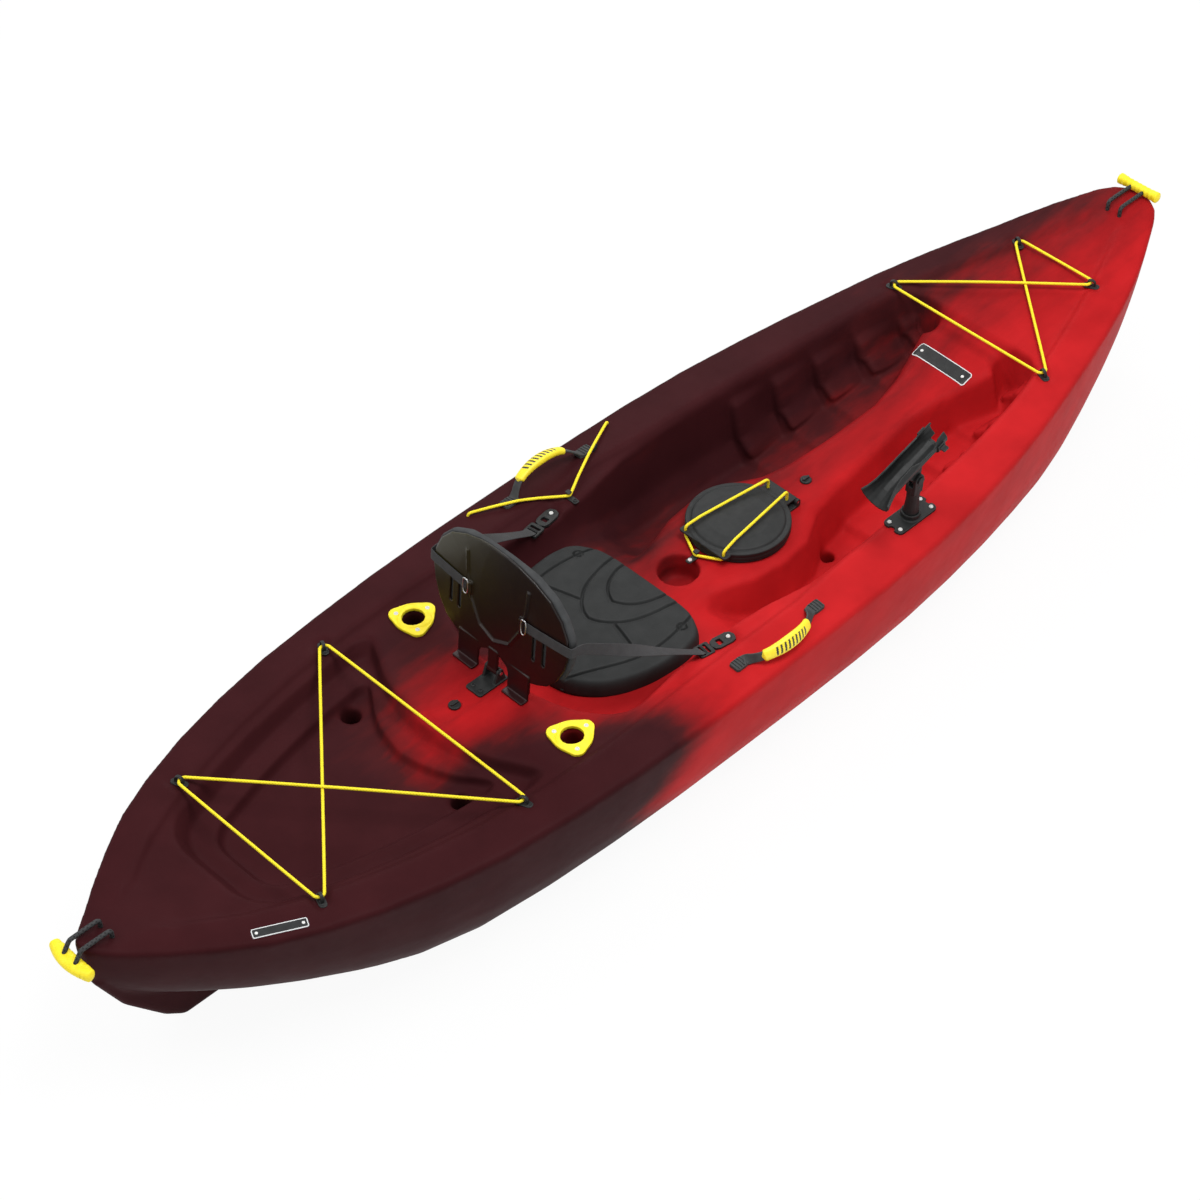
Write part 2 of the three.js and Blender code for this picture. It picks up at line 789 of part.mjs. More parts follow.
function crownAt(x) {
  const rise = x > 0 ? hull.bowRise * bowSheer(along(x)) : hull.sternRise * sternSheer(-along(x));
  return hull.depth + hull.crownRise + rise;
}
const crownRiseAt = (x) => hull.crownRise * (1 - 0.4 * endness(x));
const shoulderAt = (x) => crownAt(x) - crownRiseAt(x);
const lipWidthAt = (x) => Math.min(hull.lipWidth, innerAt(x) * 0.4);
function deckAt(x) {
  const fade = 1 - smoothstep(Math.abs(along(x)), 0.82, 0.97) * 0.8;
  return crownAt(x) - hull.lipDrop * fade;
}
const ridgeAt = (x) =>
  hull.ridge * smoothstep(along(x), 0.68, 0.88) * Math.min(innerAt(x) / hull.gunwale, 1);

// Height of the gunwale's top at a distance from the centreline.
function gunwaleTop(x, y) {
  const share = clamp((outerAt(x) - Math.abs(y)) / gunwaleAt(x), 0, 1);
  return shoulderAt(x) + crownRiseAt(x) * crownShape(share);
}

function hullRing(x) {
  const outer = outerAt(x);
  const keel = keelAt(x);
  const shoulder = shoulderAt(x);
  const blend = endness(x);
  const bottom = midSectionShares.map(([y, z], i) => {
    const [endY, endZ] = endSectionShares[i];
    return vec(x, outer * lerp(y, endY, blend), lerp(keel, shoulder, lerp(z, endZ, blend)));
  });
  const crown = crownShares.slice(1).map(([share, rise]) =>
    vec(x, outer - gunwaleAt(x) * share, shoulder + crownRiseAt(x) * rise));
  const lip = lipWidthAt(x);
  const inner = innerAt(x);
  const deck = deckAt(x);
  const inside = [
    vec(x, inner - lip * 0.64, lerp(crownAt(x), deck, 0.42)),
    vec(x, inner - lip, deck),
    vec(x, 0, deck + ridgeAt(x)),
  ];
  return mirroredRing([...bottom, ...crown, ...inside]);
}

const hullBody = () => loft(stationShares.map((share) => hullRing(share * halfLength)));

function skegSolid() {
  const depth = skeg.thickness - 2 * skeg.bevel;
  const [fore, heel, head] = [skeg.fore, skeg.heel, skeg.head].map((inside) => inside - halfLength);
  const outline = [
    [fore, hull.depth * 0.25], [fore, hull.depth * 0.04],
    [lerp(fore, heel, 0.2), 0], [heel, 0],
    [lerp(heel, head, 0.23), skeg.headHeight * 0.14],
    [lerp(heel, head, 0.69), skeg.headHeight * 0.56],
    [head, skeg.headHeight], [lerp(heel, head, 0.9), hull.depth * 0.9],
    [lerp(heel, head, 0.2), hull.depth * 0.55],
  ];
  const inset = skeg.bevel;
  const middleX = (fore + head) / 2;
  const middleZ = hull.depth * 0.4;
  const shrunk = outline.map(([x, z]) => {
    const reach = Math.hypot(x - middleX, z - middleZ);
    return [x + ((middleX - x) * inset) / reach, z + ((middleZ - z) * inset) / reach];
  });
  const ring = (points, y) => points.map(([x, z]) => vec(x, y, z));
  return loft([
    ring(shrunk, -skeg.thickness / 2), ring(outline, -depth / 2),
    ring(outline, depth / 2), ring(shrunk, skeg.thickness / 2),
  ]);
}

// Tank well: a rim that follows the gunwale, a shelf and a lower floor

const tankAft = tank.end - halfLength;

// The well's outline at a height, drawn in from its rim by an inset.
function tankRing(inset, z) {
  const wide = (x) => innerAt(x) - lipWidthAt(x) - tank.edge - inset;
  const foreMiddle = tank.foreMiddle - inset;
  const foreSide = tank.foreSide - inset;
  const aft = tankAft + inset;
  const fore = tankForeShares.map(([run, share]) =>
    [lerp(foreMiddle, foreSide, run), wide(foreSide) * share]);
  const side = tankSideShares.map((run) => {
    const x = lerp(foreSide, aft, run);
    return [x, wide(x)];
  });
  const end = tankEndShares.map(([run, share]) => {
    const x = lerp(foreSide, aft, run);
    return [x, wide(x) * share];
  });
  const half = [...fore, ...side, ...end, [aft, 0]];
  return mirroredRing(half.map(([x, y]) => vec(x, y, z)));
}

function tankWell() {
  const top = crownAt(tankAft) + overrun;
  const deck = deckAt(tank.foreSide);
  const wall = tank.wall;
  const step = wall + tank.shelfWidth;
  return loft([
    tankRing(0, top), tankRing(0, deck + hull.lipDrop), tankRing(wall, tank.shelf),
    tankRing(step, tank.shelf - 2 * gap), tankRing(step + tank.shelfWall, tank.floor),
  ]);
}

// Cockpit: seat well, console, footwells with stepped foot braces

const cockpitEnd = smooth(cockpitEndShares);
const cockpitDrop = smooth(cockpitDropShares);
const consoleWidth = smooth(consoleWidthShares);
const consoleHump = smooth(consoleHumpShares);
const wellSlope = smooth(wellSlopeShares);

function cockpitHalfWidth(x) {
  const rim = innerAt(x) - lipWidthAt(x) - cockpit.ledge * ledgeShape(along(x));
  return rim * cockpitEnd((x - cockpit.aft) / cockpit.endRun);
}

function braceRamps(x) {
  return Array.from({ length: brace.count }, (_, k) => {
    const start = brace.first + brace.pitch * k - brace.run / 2;
    return { start, ramp: clamp((x - start) / brace.run, 0, 1) };
  });
}

function wellFloorAt(x) {
  const slope = wellSlope((x - cockpit.seatFore) / cockpit.wellSlope);
  const flat = lerp(cockpit.seatFloor, cockpit.wellFloor, slope);
  const drop = cockpitDrop((x - cockpit.aft) / cockpit.endRun);
  const steps = braceRamps(x).reduce((sum, { ramp }) => sum + ramp, 0);
  return lerp(flat, deckAt(x), drop) + brace.rise * steps;
}

function braceInset(x) {
  return braceRamps(x).reduce((inset, { start, ramp }) => {
    const drift = 1 - clamp((x - start) / brace.pitch, 0, 1);
    return ramp > 0 ? lerp(inset, brace.depth * drift, ramp) : inset;
  }, 0);
}

const consoleTopAt = (x) => console_.top + console_.hump * consoleHump(along(x));

function cockpitRing(x, closing = 0) {
  const half = cockpitHalfWidth(x);
  const floor = wellFloorAt(x);
  const deck = deckAt(x);
  const inConsole = smoothstep(x, cockpit.seatFore, cockpit.seatFore + console_.halfWidth / 2);
  const wallRun = lerp(cockpit.seatWall, cockpit.wallRun, inConsole);
  const footRun = lerp(cockpit.seatFoot, cockpit.foot, inConsole);
  const wall = half - Math.min(wallRun, half * 0.2) - braceInset(x);
  const foot = wall - Math.min(footRun, half * 0.2);
  const crest = lerp(floor, Math.max(consoleTopAt(x), floor), inConsole);
  const top = lerp(half * 0.4, console_.halfWidth * consoleWidth(along(x)), inConsole);
  const brow = Math.min(top, foot * 0.72);
  const base = Math.min(brow + console_.batter, foot * 0.95);
  const edge = Math.min(console_.edge, (crest - floor) * 0.4);
  const lift = (z) => lerp(z, Math.max(deck - gap, crest), closing);
  const rise = deck - floor;
  return mirroredRing([
    vec(x, brow * 0.8, lift(crest)), vec(x, brow, lift(crest - edge)),
    vec(x, base, lift(floor)), vec(x, foot, lift(floor + rise * 0.03 * inConsole)),
    vec(x, wall + (half - wall) * 0.3, lift(floor + rise * 0.3)), vec(x, half, lift(deck)),
    vec(x, half, crownAt(x) + overrun),
  ]);
}

function cockpitWell() {
  const endPlaces = cockpitEndShares.map(([run]) => cockpit.aft + cockpit.endRun * run);
  const bracePlaces = braceRamps(0).flatMap(({ start }) => [start, start + brace.run]);
  const seat = cockpit.aft + cockpit.endRun;
  const seatPlaces = [0.33, 0.67, 1].map((t) => lerp(seat, cockpit.seatFore, t));
  const slopePlaces = [0.14, 0.3, 0.45, 0.65, 1]
    .map((t) => cockpit.seatFore + cockpit.wellSlope * t);
  const wellPlaces = [0.25, 0.5, 0.75]
    .map((t) => lerp(cockpit.seatFore + cockpit.wellSlope, brace.first, t));
  const places = [...endPlaces, ...seatPlaces, ...slopePlaces, ...wellPlaces, ...bracePlaces]
    .filter((x) => x < cockpit.fore - cockpit.foreWall)
    .sort((a, b) => a - b);
  const rings = places.map((x) => cockpitRing(x));
  rings.push(cockpitRing(cockpit.fore - cockpit.foreWall), cockpitRing(cockpit.fore, 0.97));
  return loft(rings);
}

// A round hole down from above, which may taper.
function well(x, y, top, bottom, radius, taper = 0, segments = 20) {
  const profile = [
    [0, bottom], [radius - taper, bottom], [radius, top], [radius, top + overrun], [0, top + overrun],
  ];
  return turned(profile, segments, shift(x, y, 0));
}

function drain(x, y, top, radius) {
  return bar(radius, top + 2 * overrun, 12, shift(x, y, -overrun));
}

hullCuts.push(tankWell(), cockpitWell());
hullCuts.push(well(cup.x, 0, console_.top, console_.top - cup.depth, cup.radius, cup.taper));
hullCuts.push(well(
  hatch.x, 0, console_.top, console_.top - compartment.depth, compartment.radius, 0, hatch.facets,
));
Object.values(sides).forEach((side) => {
  hullCuts.push(drain(scupper.tankX, side * scupper.tankY, tank.floor, scupper.tankRadius));
  hullCuts.push(drain(scupper.footX, side * scupper.footY, cockpit.wellFloor, scupper.footRadius));
});

// Groove on the rear deck that holds the backrest's bracket

const grooveFloor = deckAt(groove.fore) - groove.depth;
hullCuts.push(plate(
  roundedBox(groove.fore - groove.aft, groove.width, groove.width / 4),
  groove.depth + overrun,
  [],
  shift((groove.aft + groove.fore) / 2, 0, grooveFloor),
));

// A slot-headed screw whose head sits on z = 0 of its frame.
function screwSolid() {
  const head = turned([[0, 0], [screw.radius, 0], [screw.radius * 0.8, screw.head], [0, screw.head]], 9);
  const shank = bar(screw.shank, screw.grip + screw.head / 2, 6, shift(0, 0, -screw.grip));
  return joined(head, shank);
}
const screwHole = (matrix) =>
  bar(screw.shank + gap, screw.grip + overrun, 6, chain(matrix, shift(0, 0, -screw.grip - 2 * gap)));

// Drain plugs: one in the groove of the rear deck, one on the console ahead of the hatch

function addPlug(name, x, seat) {
  const frame = shift(x, 0, seat + gap);
  hullCuts.push(bar(plug.shank + gap, plug.depth + overrun, 16, shift(x, 0, seat - plug.depth - gap)));
  const head = turned([
    [0, 0], [plug.radius, 0], [plug.radius, plug.head * 0.6], [plug.radius * 0.88, plug.head],
    [0, plug.head],
  ], 16);
  const stem = bar(plug.shank, plug.depth + plug.head / 2, 12, shift(0, 0, -plug.depth));
  const grip = plate(
    roundedBox(plug.radius * 1.5, plug.gripWidth, plug.gripWidth / 2, 0, 0, 2),
    plug.grip + plug.head / 2,
    [],
    shift(0, 0, plug.head / 2),
  );
  add(name, joined(head, stem, grip), blackPlastic, frame);
}
function plugFlat(x, seat) {
  hullCuts.push(bar(plug.radius + fillet, overrun, 20, shift(x, 0, seat)));
}
const bowPlugSeat = consoleTopAt(plugs.bow) - plug.head / 2;
plugFlat(plugs.bow, bowPlugSeat);
addPlug("drain_plug_stern", plugs.stern, grooveFloor);
addPlug("drain_plug_bow", plugs.bow, bowPlugSeat);

// Seat pad: a flat-topped moulded cushion with rounded edges and pressed channels

const padOutline = smooth(padOutlineShares);
const padEdge = smooth([[0, 0.55], [0.03, 0.9], [0.07, 1], [0.93, 1], [0.97, 0.9], [1, 0.5]]);
const padHalfWidth = cockpitHalfWidth((pad.fore + pad.aft) / 2) - pad.inset;
const padX = (share) => lerp(pad.fore, pad.aft, share);
const padWidth = (share) => padHalfWidth * padOutline(share);
const padTop = (share, y) =>
  pad.thickness * padEdge(share) + pad.crown * (1 - (y / padHalfWidth) ** 2);

function padRing(share) {
  const width = padWidth(share);
  const roll = Math.min(pad.roll, width / 3);
  const top = (y) => padTop(share, y);
  const rim = top(width) - roll * 0.3;
  const points = [
    [0, 0], [width - roll, 0], [width - roll * 0.25, rim * 0.3], [width, rim * 0.6],
    [width - roll * 0.2, rim * 0.88], [width - roll * 0.8, top(width) - roll * 0.06],
    [width * 0.6, top(width * 0.6)], [width * 0.25, top(width * 0.25)],
  ];
  const bottom = cockpit.seatFloor + gap;
  return mirroredRing([
    ...points.map(([y, z]) => vec(padX(share), y, bottom + z)),
    vec(padX(share), 0, bottom + top(0)),
  ]);
}

function padChannel(table, side = 0) {
  const place = ([share, wide], mirror) => {
    const y = wide * padHalfWidth * mirror;
    const z = cockpit.seatFloor + gap + padTop(clamp(share, 0.07, 0.93), y) + pad.channel * 0.25;
    return vec(padX(share), y, z);
  };
  const first = table.map((point) => place(point, side || 1));
  const second = side ? [] : table.slice(0, -1).reverse().map((point) => place(point, -1));
  return sweep([...first, ...second], roundSection(pad.channel, 4));
}

function padButton(side) {
  const [share, wide] = buttonShare;
  const y = wide * padHalfWidth * side;
  const z = cockpit.seatFloor + gap + padTop(share, y) + pad.channel * 0.25;
  const centre = vec(padX(share), y, z);
  const ring = circlePoints(pad.button, 8).map((p) => vec(centre.x + p.x, centre.y + p.y, z));
  return sweep(ring, roundSection(pad.channel * 0.7, 4), true);
}

function padSolid() {
  const shares = [0, 0.012, 0.035, 0.07, 0.12, 0.2, 0.32, 0.5, 0.68, 0.82, 0.92, 0.97, 1];
  const body = loft(shares.map(padRing));
  const channels = [padChannel(innerUShares), padChannel(outerUShares)];
  Object.values(sides).forEach((side) => {
    channels.push(padChannel(diagonalShares, side), padChannel(wingShares, side), padButton(side));
  });
  return cutBy(body, channels);
}
add("seat_pad", padSolid(), blackFoam);

// Backrest: shell, foam, hinge bracket and pin. Its frame sits on the hinge pin, X forward.

const pivotZ = deckAt(back.pivotX) + back.pivotRise;
const lean = degToRad(back.lean);
const backFrame = chain(shift(back.pivotX, 0, pivotZ), spinY(lean));
const backShape = smooth(backShares);
const backBend = (y) => back.bend * (y / back.halfWidth) ** 2;
const acrossShares = [-1, -0.6, -0.25, 0.25, 0.6, 1];
const foamFrom = 4; // the place in the backrest's table where the foam starts

function shellRing(share) {
  const width = back.halfWidth * backShape(share);
  const face = (x, order) =>
    order.map((a) => vec(x + backBend(a * width), a * width, share * back.height));
  return [...face(0, acrossShares), ...face(-back.shell, [...acrossShares].reverse())];
}

function foamRing(share) {
  const shell = back.halfWidth * backShape(share);
  const width = shell + back.foamLip;
  const ends = smoothstep(share, 0.93, 1) + 1 - smoothstep(share, 0.1, 0.2);
  const deep = back.foam * (1 - 0.4 * ends);
  const edge = Math.min(back.foam * 0.6, width * 0.3);
  const seat = acrossShares.filter((a) => a > 0).map((a) => [a * shell, 0]);
  const half = [
    ...seat, [width - edge * 0.1, 0.05], [width, 0.45], [width - edge * 0.3, 0.85],
    [width - edge, 1], [width * 0.4, 1],
  ].map(([y, depth]) => vec(gap + backBend(y) + deep * depth, y, share * back.height));
  return mirroredRing(half);
}

// A plate standing across the kayak: its outline is in Y and Z, its thickness runs along X.
const upright = (points, from, thickness, holes = []) =>
  plate(points, thickness, holes, chain(shift(from, 0, 0), spinZ(Math.PI / 2), spinX(Math.PI / 2)));
// A plate standing along the kayak: its outline is in X and Z, its thickness runs along Y.
const lengthwise = (points, middle, thickness, holes = []) =>
  plate(points, thickness, holes, chain(shift(0, middle + thickness / 2, 0), spinX(Math.PI / 2)));
const crossBar = (radius, length, middle = 0, segments = 16) =>
  bar(radius, length, segments, chain(shift(0, middle + length / 2, 0), spinX(Math.PI / 2)));
const flatPoint = (x, y) => new THREE.Vector2(x, y);

function shellSolid() {
  let shell = loft(backShares.map(([share]) => shellRing(share)));
  const legTop = back.archHeight;
  Object.values(sides).forEach((side) => {
    const middle = (side * (back.legOuter + back.legInner)) / 2;
    const wide = back.legOuter - back.legInner;
    const drop = back.pivotRise * 0.75;
    const leg = roundedBox(wide, legTop + drop, fillet, middle, (legTop - drop) / 2, 1);
    shell = shell.add(upright(leg, -back.shell, back.shell));
    const footZ = -back.pivotRise + 2 * gap;
    const foot = roundedBox(back.footLength, wide, fillet, -back.footLength / 2, middle, 1);
    shell = shell.add(plate(foot, back.footThick, [], chain(spinY(-lean), shift(0, 0, footZ))));
  });
  const arch = [
    flatPoint(-back.legInner, -overrun), flatPoint(back.legInner, -overrun),
    ...Array.from({ length: 7 }, (_, k) => {
      const turn = (k / 6) * Math.PI;
      return flatPoint(
        back.legInner * Math.cos(turn),
        back.archHeight * (0.45 + 0.55 * Math.sin(turn)),
      );
    }),
  ];
  shell = shell.subtract(upright(arch, -overrun, 2 * overrun));
  const stemTop = back.archHeight + back.slotWidth;
  shell = shell.add(upright(
    roundedBox(back.stem, stemTop, fillet, 0, stemTop / 2, 1), -back.shell * 1.4, back.shell * 1.4,
  ));
  shell = shell.add(crossBar(bracket.bossRadius, back.stem));
  shell = shell.subtract(crossBar(bracket.pinRadius + gap, back.stem + overrun));
  Object.values(sides).forEach((side) => {
    [-1, 1].forEach((step) => {
      const y = side * back.slotY + (step * back.slotPitch) / 2;
      const slot = roundedBox(back.slotWidth, back.slotHeight, back.slotWidth / 3, y, back.slotZ, 1);
      shell = shell.subtract(upright(slot, -overrun, 2 * overrun));
    });
    const guideX = backBend(back.guideY) - back.shell - back.guide * 0.4;
    const guide = roundedBox(
      back.guide, strap.width * 1.2, fillet, side * back.guideY, back.guideZ, 1,
    );
    shell = shell.add(upright(guide, guideX, back.guide * 0.5));
  });
  const ribPoint = ([y, z], side) => {
    const wide = y * back.halfWidth * side;
    return vec(backBend(wide) - back.shell, wide, z * back.height);
  };
  const ribPath = [
    ...backRibShares.map((point) => ribPoint(point, 1)),
    ...backRibShares.slice(0, -1).reverse().map((point) => ribPoint(point, -1)),
  ];
  return shell.add(sweep(ribPath, roundSection(back.rib, 4), false, vec(1, 0, 0)));
}
add("seat_back_shell", shellSolid(), blackPlastic, backFrame);

const foamSolid = loft(backShares.slice(foamFrom).map(([share]) => foamRing(share)));
add("seat_back_foam", foamSolid, blackFoam, backFrame);

function bracketSolid() {
  const floor = grooveFloor + gap - pivotZ;
  const length = bracket.fore - bracket.aft;
  const middle = (bracket.fore + bracket.aft) / 2 - back.pivotX;
  const foot = roundedBox(length, bracket.width, bracket.base, middle, 0, 2);
  let body = plate(foot, bracket.base, [], shift(0, 0, floor));
  const inner = back.stem / 2 + gap;
  const boss = bracket.bossRadius;
  const ear = [
    flatPoint(-1.9 * boss, floor + bracket.base / 2), flatPoint(1.6 * boss, floor + bracket.base / 2),
    ...Array.from({ length: 7 }, (_, k) => {
      const turn = (k / 6) * Math.PI;
      return flatPoint(boss * Math.cos(turn), boss * Math.sin(turn));
    }),
  ];
  [-1, 1].forEach((side) => {
    body = body.add(lengthwise(ear, side * (inner + bracket.ear / 2), bracket.ear));
  });
  return body.subtract(crossBar(bracket.pinRadius + gap, bracket.width + overrun));
}
const bracketFrame = shift(back.pivotX, 0, pivotZ);
const bracketScrews = Object.entries(sides).map(([name, side]) => [name, shift(
  bracket.aft + bracket.width * 0.28,
  (side * bracket.width) / 4,
  grooveFloor + gap + bracket.base,
)]);
const bracketHoles = bracketScrews.map(([, matrix]) =>
  screwHole(chain(bracketFrame.clone().invert(), matrix)));
add("seat_bracket", cutBy(bracketSolid(), bracketHoles), blackPlastic, bracketFrame);
add("seat_pivot_pin", crossBar(bracket.pinRadius, bracket.width - fillet), steel, bracketFrame);
bracketScrews.forEach(([name, matrix]) => {
  hullCuts.push(screwHole(matrix));
  add(`seat_bracket_screw_${name}`, screwSolid(), steel, chain(matrix, shift(0, 0, gap)));
});

// A ribbon or grip along points, each with the direction that its width lies in.
function oriented(points, wides, section) {
  const rings = points.map((p, i) => {
    const before = points[Math.max(i - 1, 0)];
    const after = points[Math.min(i + 1, points.length - 1)];
    const inward = p.clone().sub(before).normalize();
    const outward = after.clone().sub(p).normalize();
    const tangent = inward.add(outward).normalize();
    const wide = wides[i].clone().addScaledVector(tangent, -wides[i].dot(tangent)).normalize();
    const normal = tangent.clone().cross(wide);
    return section.map(([a, b]) => p.clone().addScaledVector(wide, a).addScaledVector(normal, b));
  });
  return loft(rings);
}

// Backrest straps: anchor plates and buckles on the ledges, webbing to the backrest's edges

function addStrap(name, side) {
  const screwY = side * (innerAt(anchor.x) - anchor.inset);
  const seatZ = deckAt(anchor.x) - anchor.seat;
  const edgeY = back.halfWidth * backShape(strap.exitHeight / back.height) + back.foamLip;
  const edge = vec(backBend(edgeY), side * (edgeY + strap.thickness), strap.exitHeight)
    .applyMatrix4(backFrame);
  const heading = vec(edge.x - anchor.x, edge.y - screwY, 0).normalize();
  const frame = frameAt(vec(anchor.x, screwY, seatZ), up, heading);
  const lift = shift(0, 0, gap);
  const bodyLength = anchor.length + anchor.buckle;
  const nose = anchor.width / 2;
  hullCuts.push(plate(
    roundedBox(bodyLength + 2 * nose, anchor.width + nose / 2, nose, (bodyLength - nose) / 2, 0),
    anchor.seat + overrun, [], frame,
  ));
  const hole = circlePoints(screw.shank + gap, 8);
  const window = roundedBox(anchor.window, anchor.width / 2, fillet, anchor.length * 0.38, 0, 2);
  const body = plate(
    roundedBox(anchor.length, anchor.width, nose * 0.9, anchor.length / 2 - nose, 0, 2),
    anchor.thickness, [hole, window],
  );
  const start = anchor.length - nose + gap;
  const boss = turned([
    [screw.shank + gap, anchor.thickness / 2], [screw.radius + fillet, anchor.thickness / 2],
    [screw.radius + fillet, anchor.boss], [screw.shank + gap, anchor.boss],
    [screw.shank + gap, anchor.thickness / 2],
  ], 8);
  add(`strap_anchor_${name}`, joined(body, boss), blackPlastic, chain(frame, lift));
  hullCuts.push(screwHole(chain(frame, shift(0, 0, gap))));
  add(`strap_screw_${name}`, screwSolid(), steel, chain(frame, shift(0, 0, 2 * gap + anchor.boss)));
  const slots = [0.32, 0.68].map((share) =>
    roundedBox(anchor.buckle * 0.18, strap.width + 4 * gap, fillet, start + anchor.buckle * share, 0, 1));
  const outer = roundedBox(
    anchor.buckle, anchor.width + 2 * fit, 2 * fillet, start + anchor.buckle / 2, 0, 2,
  );
  const barX = start + anchor.buckle / 2;
  const barTop = anchor.thickness - fillet / 2;
  const ridge = lengthwise([
    flatPoint(barX - fillet, barTop), flatPoint(barX + fillet, barTop),
    flatPoint(barX, anchor.thickness + fillet),
  ], 0, anchor.width * 0.8);
  const buckle = plate(outer, anchor.thickness, slots);
  add(`strap_buckle_${name}`, joined(buckle, ridge), blackPlastic, chain(frame, lift));

  const overBar = anchor.thickness + gap + strap.thickness / 2;
  const threaded = [[1, overBar + gap], [0.71, overBar], [0.695, anchor.thickness * 0.2]]
    .map(([share, z]) => vec(start + anchor.buckle * share, 0, z).applyMatrix4(chain(frame, lift)));
  const root = threaded.shift();
  const behind = (y) =>
    vec(backBend(y) - back.shell - 2 * gap - strap.thickness, side * y, strap.exitHeight)
      .applyMatrix4(backFrame);
  const guideEdge = back.guideY + back.guide / 2 + gap;
  const tall = vec(Math.sin(lean), 0, Math.cos(lean));
  const flat = vec(0, -side, 0).transformDirection(frame);
  const corner = vec(backBend(edgeY) - back.shell, side * (edgeY + strap.thickness * 1.5), strap.exitHeight)
    .applyMatrix4(backFrame);
  const turnPoint = edge.clone().add(vec(back.foam, side * strap.thickness, 0));
  const points = [
    behind(guideEdge), behind((guideEdge + edgeY) / 2), behind(edgeY - fillet), corner, turnPoint,
  ];
  const wides = points.map(() => tall);
  const steps = 7;
  for (let k = 1; k <= steps; k += 1) {
    const t = k / steps;
    points.push(turnPoint.clone().lerp(root, t));
    wides.push(tall.clone().lerp(flat, smoothstep(t, 0, 0.95)).normalize());
  }
  threaded.forEach((point) => {
    points.push(point);
    wides.push(flat);
  });
  add(`strap_${name}`, oriented(points, wides, flatSection(strap.width, strap.thickness)), blackWebbing);
}
Object.entries(sides).forEach(([name, side]) => addStrap(name, side));

// Hatch: rim, gasket, hinged lid with a cord over it, and the hook that holds the cord

const hatchFrame = shift(hatch.x, 0, console_.top);
const collarOuter = compartment.radius - gap;
const collarInner = collarOuter - hatch.collar;
const lidUnder = hatch.upstand + 2 * gap + hatch.gasket;
const tabHoleX = -hatch.tabReach + 2.4 * cord.radius;
const pinZ = hatch.flange + hatch.barrelRadius + fillet / 2;
const hingePin = (radius, length) =>
  bar(radius, length, 14, chain(shift(hatch.pinReach, length / 2, pinZ), spinX(Math.PI / 2)));

function hatchRim() {
  const outer = hatch.lidRadius - fillet;
  const upstandOuter = collarInner + hatch.gasketWidth;
  const ring = turned([
    [collarInner, -hatch.collarDepth], [collarOuter, -hatch.collarDepth], [collarOuter, gap],
    [outer, gap], [outer, hatch.flange], [upstandOuter, hatch.flange],
    [upstandOuter, hatch.upstand], [collarInner, hatch.upstand], [collarInner, -hatch.collarDepth],
  ], hatch.facets);
  const reach = hatch.pinReach + hatch.barrelRadius + fillet;
  const from = (collarOuter + outer) / 2;
  const earOut = hatch.tongueWidth / 2 + hatch.earWidth;
  const shelf = plate(
    roundedBox(reach - from, 2 * earOut, hatch.earWidth, (reach + from) / 2, 0, 2),
    hatch.flange - gap, [], shift(0, 0, gap),
  );
  const boss = hatch.barrelRadius;
  const ear = [
    flatPoint(hatch.pinReach - boss, hatch.flange / 2),
    flatPoint(hatch.pinReach + boss, hatch.flange / 2),
    ...Array.from({ length: 7 }, (_, k) => {
      const turn = (k / 6) * Math.PI;
      return flatPoint(hatch.pinReach + boss * Math.cos(turn), pinZ + boss * Math.sin(turn));
    }),
  ];
  const ears = [-1, 1].map((side) =>
    lengthwise(ear, side * (earOut - (hatch.earWidth - gap) / 2), hatch.earWidth - gap));
  return joined(ring, shelf, ...ears).subtract(hingePin(hatch.pinRadius + gap, 2 * earOut + overrun));
}
add("hatch_rim", hatchRim(), blackPlastic, hatchFrame);

const gasketBottom = hatch.upstand + gap;
add("hatch_gasket", turned([
  [collarInner, gasketBottom], [collarInner + hatch.gasketWidth, gasketBottom],
  [collarInner + hatch.gasketWidth, gasketBottom + hatch.gasket],
  [collarInner, gasketBottom + hatch.gasket], [collarInner, gasketBottom],
], hatch.facets), blackRubber, hatchFrame);

